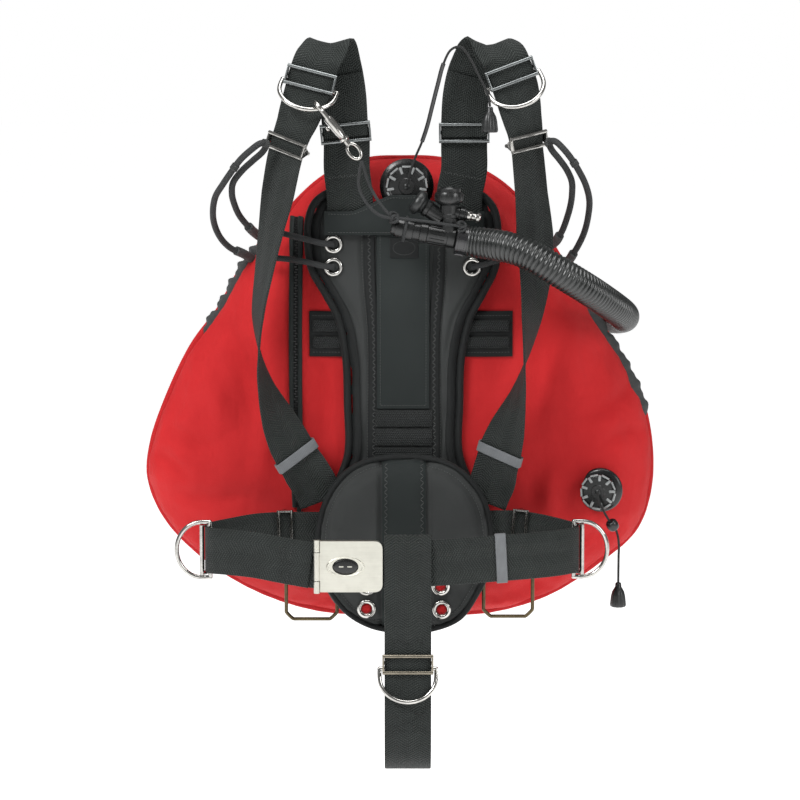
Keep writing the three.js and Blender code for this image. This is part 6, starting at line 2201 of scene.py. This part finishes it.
    def _retainer(self) -> None:
        """The shock cord that keeps the inflator against the chest: a run along the barrel with a knot at
        each end, and a band round the barrel.
        """
        run = [(-0.0105, -0.0695, -0.1905), (0.0040, -0.0715, -0.1922), (0.0240, -0.0722, -0.1945),
               (0.0440, -0.0722, -0.1975), (0.0620, -0.0705, -0.2000)]
        add(Builder.tube("retainer_run", Route(run), 0.0030, 60, 12), SHOCK_CORD)
        for name, spot, size in (("near", run[0], 0.0042), ("far", run[-1], 0.0040)):
            knot = [Vector(spot) + size * Vector((math.cos(2 * t), 0.6 * math.sin(3 * t),
                                                  math.sin(t) + 0.5 * math.sin(2 * t)))
                    for t in (TURN * k / 22 for k in range(22))]
            add(Builder.tube(f"retainer_knot_{name}", Route(knot, closed=True), 0.0028, 90, 12, loop=True),
                SHOCK_CORD)
        place = along(self.start + self.axis * 0.0105, self.axis)
        points = [place @ Vector((0.0128 * math.cos(TURN * k / 16), 0.0128 * math.sin(TURN * k / 16), 0))
                  for k in range(16)]
        add(Builder.tube("retainer_band", Route(points, closed=True), 0.0034, 64, 12, loop=True), SHOCK_CORD)


@dataclass
class DumpValve:
    """A dump valve: flange, pillared vents, cap with a grip rim and a centre boss."""

    name: str
    seat: Point
    tilt: float
    flange: float
    cap: float
    height: float
    neck: float
    neck_length: float
    body: str
    windows: int = 9

    def build(self) -> None:
        """Builds the valve in place of the frame's nodes."""
        axis = Vector((-math.sin(self.tilt), -math.cos(self.tilt), 0))
        place = along(self.seat, axis)
        base, top = 0.0050, 0.0050 + self.height
        wall = 0.0024
        profile = [(self.neck - wall, -self.neck_length), (self.neck, -self.neck_length),
                   (self.neck, -0.0006),
                   (self.flange - 0.0022, 0.0), (self.flange - 0.0014, 0.0012),
                   (self.flange - 0.0018, 0.0028),
                   (self.cap + 0.0035, 0.0038), (self.cap + 0.0015, base), (self.cap - 0.0062, base),
                   (self.cap - 0.0062, 0.0020), (self.neck - wall, 0.0020),
                   (self.neck - wall, -self.neck_length)]
        parts = [Builder.turned(profile, place, 72)]
        cap = [(0.0030, top), (self.cap * 0.36, top), (self.cap * 0.40, top - 0.0008),
               (self.cap * 0.80, top - 0.0012),
               (self.cap - 0.0034, top - 0.0004), (self.cap - 0.0018, top - 0.0014),
               (self.cap - 0.0012, top - 0.0040),
               (self.cap - 0.0034, top - 0.0048), (self.cap - 0.0050, top - 0.0034), (0.0030, top - 0.0030),
               (0.0030, top)]
        parts.append(Builder.turned(cap, place, 72))
        frames, panes = [], []
        for k in range(self.windows):
            turn = place @ Matrix.Rotation(TURN * (k + 0.5) / self.windows, 4, "Z")
            pillar = turn @ Matrix.Translation((0, self.cap - 0.0030, (base + top - 0.004) / 2))
            parts.append(Builder.box((0.0042, 0.0034, top - base), pillar, 0.0008))
            spoke = turn @ Matrix.Translation((0, self.cap * 0.78, top - 0.0004))
            frames.append(Builder.box((0.0030, self.cap * 0.34, 0.0016), spoke, 0.0006))
            pane = turn @ Matrix.Rotation(math.pi / self.windows, 4, "Z")
            pane = pane @ Matrix.Translation((0, self.cap * 0.93, top - 0.0005))
            panes.append(Builder.box((self.cap * 0.46, 0.0022, 0.0016), pane, 0.0006))
        add(sort_by_angle(joined(parts), f"{self.name}_shell", 0.6), PLASTIC, instead_of=(self.name,))
        # the spokes and panes are black plastic vents given a light grey painted highlight
        add(sort_by_angle(joined(frames + panes), f"{self.name}_vents", 0.6), VENT_PAINTED_HIGHLIGHT)
        self._poppet(place, top)

    def _poppet(self, place: Matrix, top: float) -> None:
        """The sprung disc under the cap and the boss that the cord is tied to."""
        radius = self.cap - 0.0090
        profile = [(0, 0.0024), (radius, 0.0024), (radius + 0.0004, 0.0034), (radius, 0.0046),
                   (0.0042, 0.0050),
                   (0.0022, 0.0060), (0.0022, top + 0.0002), (0.0034, top + 0.0006), (0.0030, top + 0.0013),
                   (0, top + 0.0015)]
        node = self.name.replace("valve", "poppet")
        add(finish_mesh(Builder.turned(profile, place, 48), f"{node}_disc"), RUBBER, self.body, (node,))


@dataclass
class BoltSnap:
    """The bolt snap on the left shoulder ring: hook, flattened body, sprung bolt and swivel eye."""

    hooked_at: float = 48.0
    wire: float = 0.0052
    hook_radius: float = 0.0082
    bolt: float = 0.0018
    start: float = 0.012
    end: float = 0.040
    eye_at: float = 0.058

    def build(self, harness: Harness) -> None:
        """Builds the snap where it holds the ring."""
        lean = harness.ring.rest_lean + harness.clipped_extra
        held = harness.left_ring_frame @ harness.ring.point(self.hooked_at, lean)
        axis = Vector((0.62, -0.12, -0.78)).normalized()
        side = Vector((0, 1, 0)).cross(axis).normalized()
        depth = axis.cross(side).normalized()
        place = frame_of(side, depth, axis, held)
        hook_path = [Vector((0, self.hook_radius * math.sin(math.radians(a)),
                             self.hook_radius * math.cos(math.radians(a))))
                     for a in range(105, 301, 12)]
        hook_path += [Vector((0, -self.hook_radius, 0.004)),
                      Vector((0, -self.hook_radius, self.start + 0.004))]
        hook = Builder.tube("hook", Route(hook_path), self.wire, 60, 18, slim_tip)
        parts = [taken(hook)]
        r = 0.0096
        body = [(0, self.start), (r * 0.80, self.start), (r * 0.96, self.start + 0.0014),
                (r, self.start + 0.004),
                (r * 0.96, self.start + 0.012), (r * 0.90, self.end - 0.008), (r * 0.74, self.end - 0.002),
                (r * 0.62, self.end), (0, self.end)]
        slim = Matrix.Translation((0, -0.0012, 0)) @ Matrix.Diagonal((0.55, 1, 1, 1))
        parts.append(Builder.turned(body, slim, 40))
        whole = joined(parts)
        bmesh.ops.transform(whole, matrix=place, verts=whole.verts)
        add(sort_by_angle(whole, "snap_body", 0.6), STEEL, "shoulder_ring_left", ("bolt_snap",))
        y = self.hook_radius - 0.002
        stud = Builder.turned([(0, 0), (0.0017, 0), (0.0017, 0.0062), (0.0034, 0.0070), (0.0036, 0.0082),
                               (0.0030, 0.0090),
                               (0, 0.0092)], along((0, y, 0.021), (1, 0, 0)), 24)
        bolt = joined([Builder.bar(Vector((0, y, 0.0036)), Vector((0, y, 0.024)), self.bolt, 20, 0.0004),
                       stud])
        bmesh.ops.transform(bolt, matrix=place, verts=bolt.verts)
        add(sort_by_angle(bolt, "snap_slider", 0.6), STEEL, "snap_gate", ("snap_bolt",))
        eye_ring = [Vector((0.0058 * math.cos(TURN * k / 16), -0.0012,
                            self.eye_at + 0.0092 * math.sin(TURN * k / 16)))
                    for k in range(16)]
        loop = Builder.tube("eye", Route(eye_ring, closed=True), 0.0036, 56, 16, loop=True)
        post = Builder.turned([(0, 0.0003), (0.0048, 0.0003), (0.0050, 0.0016), (0.0046, 0.0030),
                               (0.0030, 0.0042),
                               (0.0028, 0.0090), (0, 0.0096)], along((0, -0.0012, self.end), (0, 0, 1)), 32)
        eye = joined([taken(loop), post])
        bmesh.ops.transform(eye, matrix=place, verts=eye.verts)
        add(sort_by_angle(eye, "snap_swivel_eye", 0.6), STEEL, "snap_swivel", ("snap_eye",))
        self._line_end()

    @staticmethod
    def _line_end() -> None:
        """The knot of the snap's line on the inflator's end."""
        spot = Vector(SNAP_CORD[-1])
        points = [spot + Vector((0.0032 * math.cos(TURN * k / 8), 0.0016 * math.sin(TURN * k / 4),
                                 0.0032 * math.sin(TURN * k / 8)))
                  for k in range(8)]
        add(Builder.tube("snap_line_knot", Route(points, closed=True), 0.0034, 40, 12, loop=True), SHOCK_CORD)


@dataclass
class CordSleeves:
    """The small parts round the top pull cord where it crosses the right shoulder."""

    start: float = 0.22
    end: float = 0.58

    def build(self) -> None:
        """Builds the glossy tube round the cord and the webbing sleeve it passes under."""
        route = Route(TOP_CORD)
        walk = [route.at(self.start + (self.end - self.start) * i / 20) for i in range(21)]
        tube = Builder.tube("cord_tube", Route(walk), 0.0046, 60, 16)
        add(tube, GLOSSY, "top_dump_pull")
        base = StrapRoute(RIGHT_STRAP, STRAP_STEPS, RIGHT, -FRONT)
        station = base.station(0.178)
        face = 1.0 if station.normal.y < 0 else -1.0
        sleeve = strap_piece("shoulder_sleeve", base, 0.150, 0.205, 24, width=0.0525, thickness=0.0018,
                             lift=face * 0.0024)
        add(sleeve, WEBBING)


# ---------------------------------------------------------------- light and camera
@dataclass
class Studio:
    """Plain pale floor and backdrop, soft lights and the camera."""

    target: Point = (0.0, 0.0, -0.395)
    eye: Point = (-0.0044, -2.9776, -0.0294)
    tilt: float = 83.0
    lens: float = 122.7
    floor_z: float = -0.96
    floor_half: float = 40.0
    sky: float = 0.22

    def build(self) -> None:
        """Sets up the camera, the lights and the floor."""
        self._camera()
        self._floor()
        self._lights()

    def _camera(self) -> None:
        """The camera, level with the vest and a little above it."""
        camera = bpy.data.cameras.new("camera")
        camera.lens = self.lens
        camera.sensor_width = 36.0
        camera.clip_end = 50.0
        holder = bpy.data.objects.new("camera", camera)
        holder.location = self.eye
        holder.rotation_euler = (math.radians(self.tilt), 0.0, 0.0)
        bpy.context.scene.collection.objects.link(holder)
        bpy.context.scene.camera = holder

    def _floor(self) -> None:
        """A pale floor that reaches past the horizon of every view."""
        bm = bmesh.new()
        bmesh.ops.create_grid(bm, x_segments=4, y_segments=4, size=self.floor_half)
        bmesh.ops.translate(bm, verts=bm.verts, vec=(0, 0, self.floor_z))
        floor = finish_mesh(bm, "studio_floor")
        shade = Shade("studio_white")
        cloud = shade.noise(shade.map(PatternMap.PLACE), 1.5)
        shade.put("Base Color", shade.blend(cloud, (0.90, 0.90, 0.90), (0.92, 0.92, 0.92)))
        shade.put("Roughness", 0.9)
        shade.put("Emission Color", (1.0, 1.0, 1.0))
        shade.put("Emission Strength", 0.80)
        floor.data.materials.append(shade.material)

    def _lights(self) -> None:
        """Two large soft lights, a top light and an even sky."""
        scene = bpy.context.scene
        scene.view_settings.view_transform = "Standard"
        scene.view_settings.look = "None"
        world = bpy.data.worlds.new("sky")
        scene.world = world
        world.use_nodes = True
        background = next(n for n in world.node_tree.nodes if n.type == "BACKGROUND")
        background.inputs["Color"].default_value = (1.0, 1.0, 1.0, 1.0)
        rays = world.node_tree.nodes.new("ShaderNodeLightPath")
        level = world.node_tree.nodes.new("ShaderNodeMapRange")
        level.inputs["To Min"].default_value = self.sky
        world.node_tree.links.new(rays.outputs["Is Camera Ray"], level.inputs["Value"])
        world.node_tree.links.new(level.outputs[0], background.inputs["Strength"])
        self._softbox("key", (-1.3, -1.5, 1.3), 52.0, 0.9)
        self._softbox("fill", (1.9, -1.5, 0.5), 22.0, 1.0)
        self._softbox("top", (0.1, -0.3, 1.6), 26.0, 1.2)

    def _softbox(self, name: str, spot: Point, power: float, size: float) -> None:
        """One square soft light that faces the vest."""
        lamp = bpy.data.lights.new(name, "AREA")
        lamp.energy = power
        lamp.size = size
        holder = bpy.data.objects.new(name, lamp)
        holder.location = spot
        aim = Vector(self.target) - Vector(spot)
        holder.rotation_euler = aim.to_track_quat("-Z", "Y").to_euler()
        bpy.context.scene.collection.objects.link(holder)


def dress_frame() -> None:
    """Gives the frame nodes that stay their finishes."""
    redress("hose_elbow", PLASTIC)


def main() -> None:
    """Builds the vest."""
    logging.basicConfig(level=logging.INFO)
    Studio().build()
    Cords().build()
    Wing().build()
    BackPad().build()
    LumbarPad().build()
    harness = Harness()
    harness.build()
    Buckle().build()
    Rails().build()
    Inflator().build()
    DumpValve("top_dump_valve", seat=(0.003, 0.006, -0.160), tilt=0.0, flange=0.031, cap=0.023, height=0.015,
              neck=0.014, neck_length=0.020, body="top_dump_pull").build()
    DumpValve("lower_dump_valve", seat=(0.218, 0.008, -0.496), tilt=0.24, flange=0.026, cap=0.020,
              height=0.014,
              neck=0.012, neck_length=0.022, body="lower_dump_pull").build()
    BoltSnap().build(harness)
    CordSleeves().build()
    dress_frame()


if __name__ == "__main__":
    main()
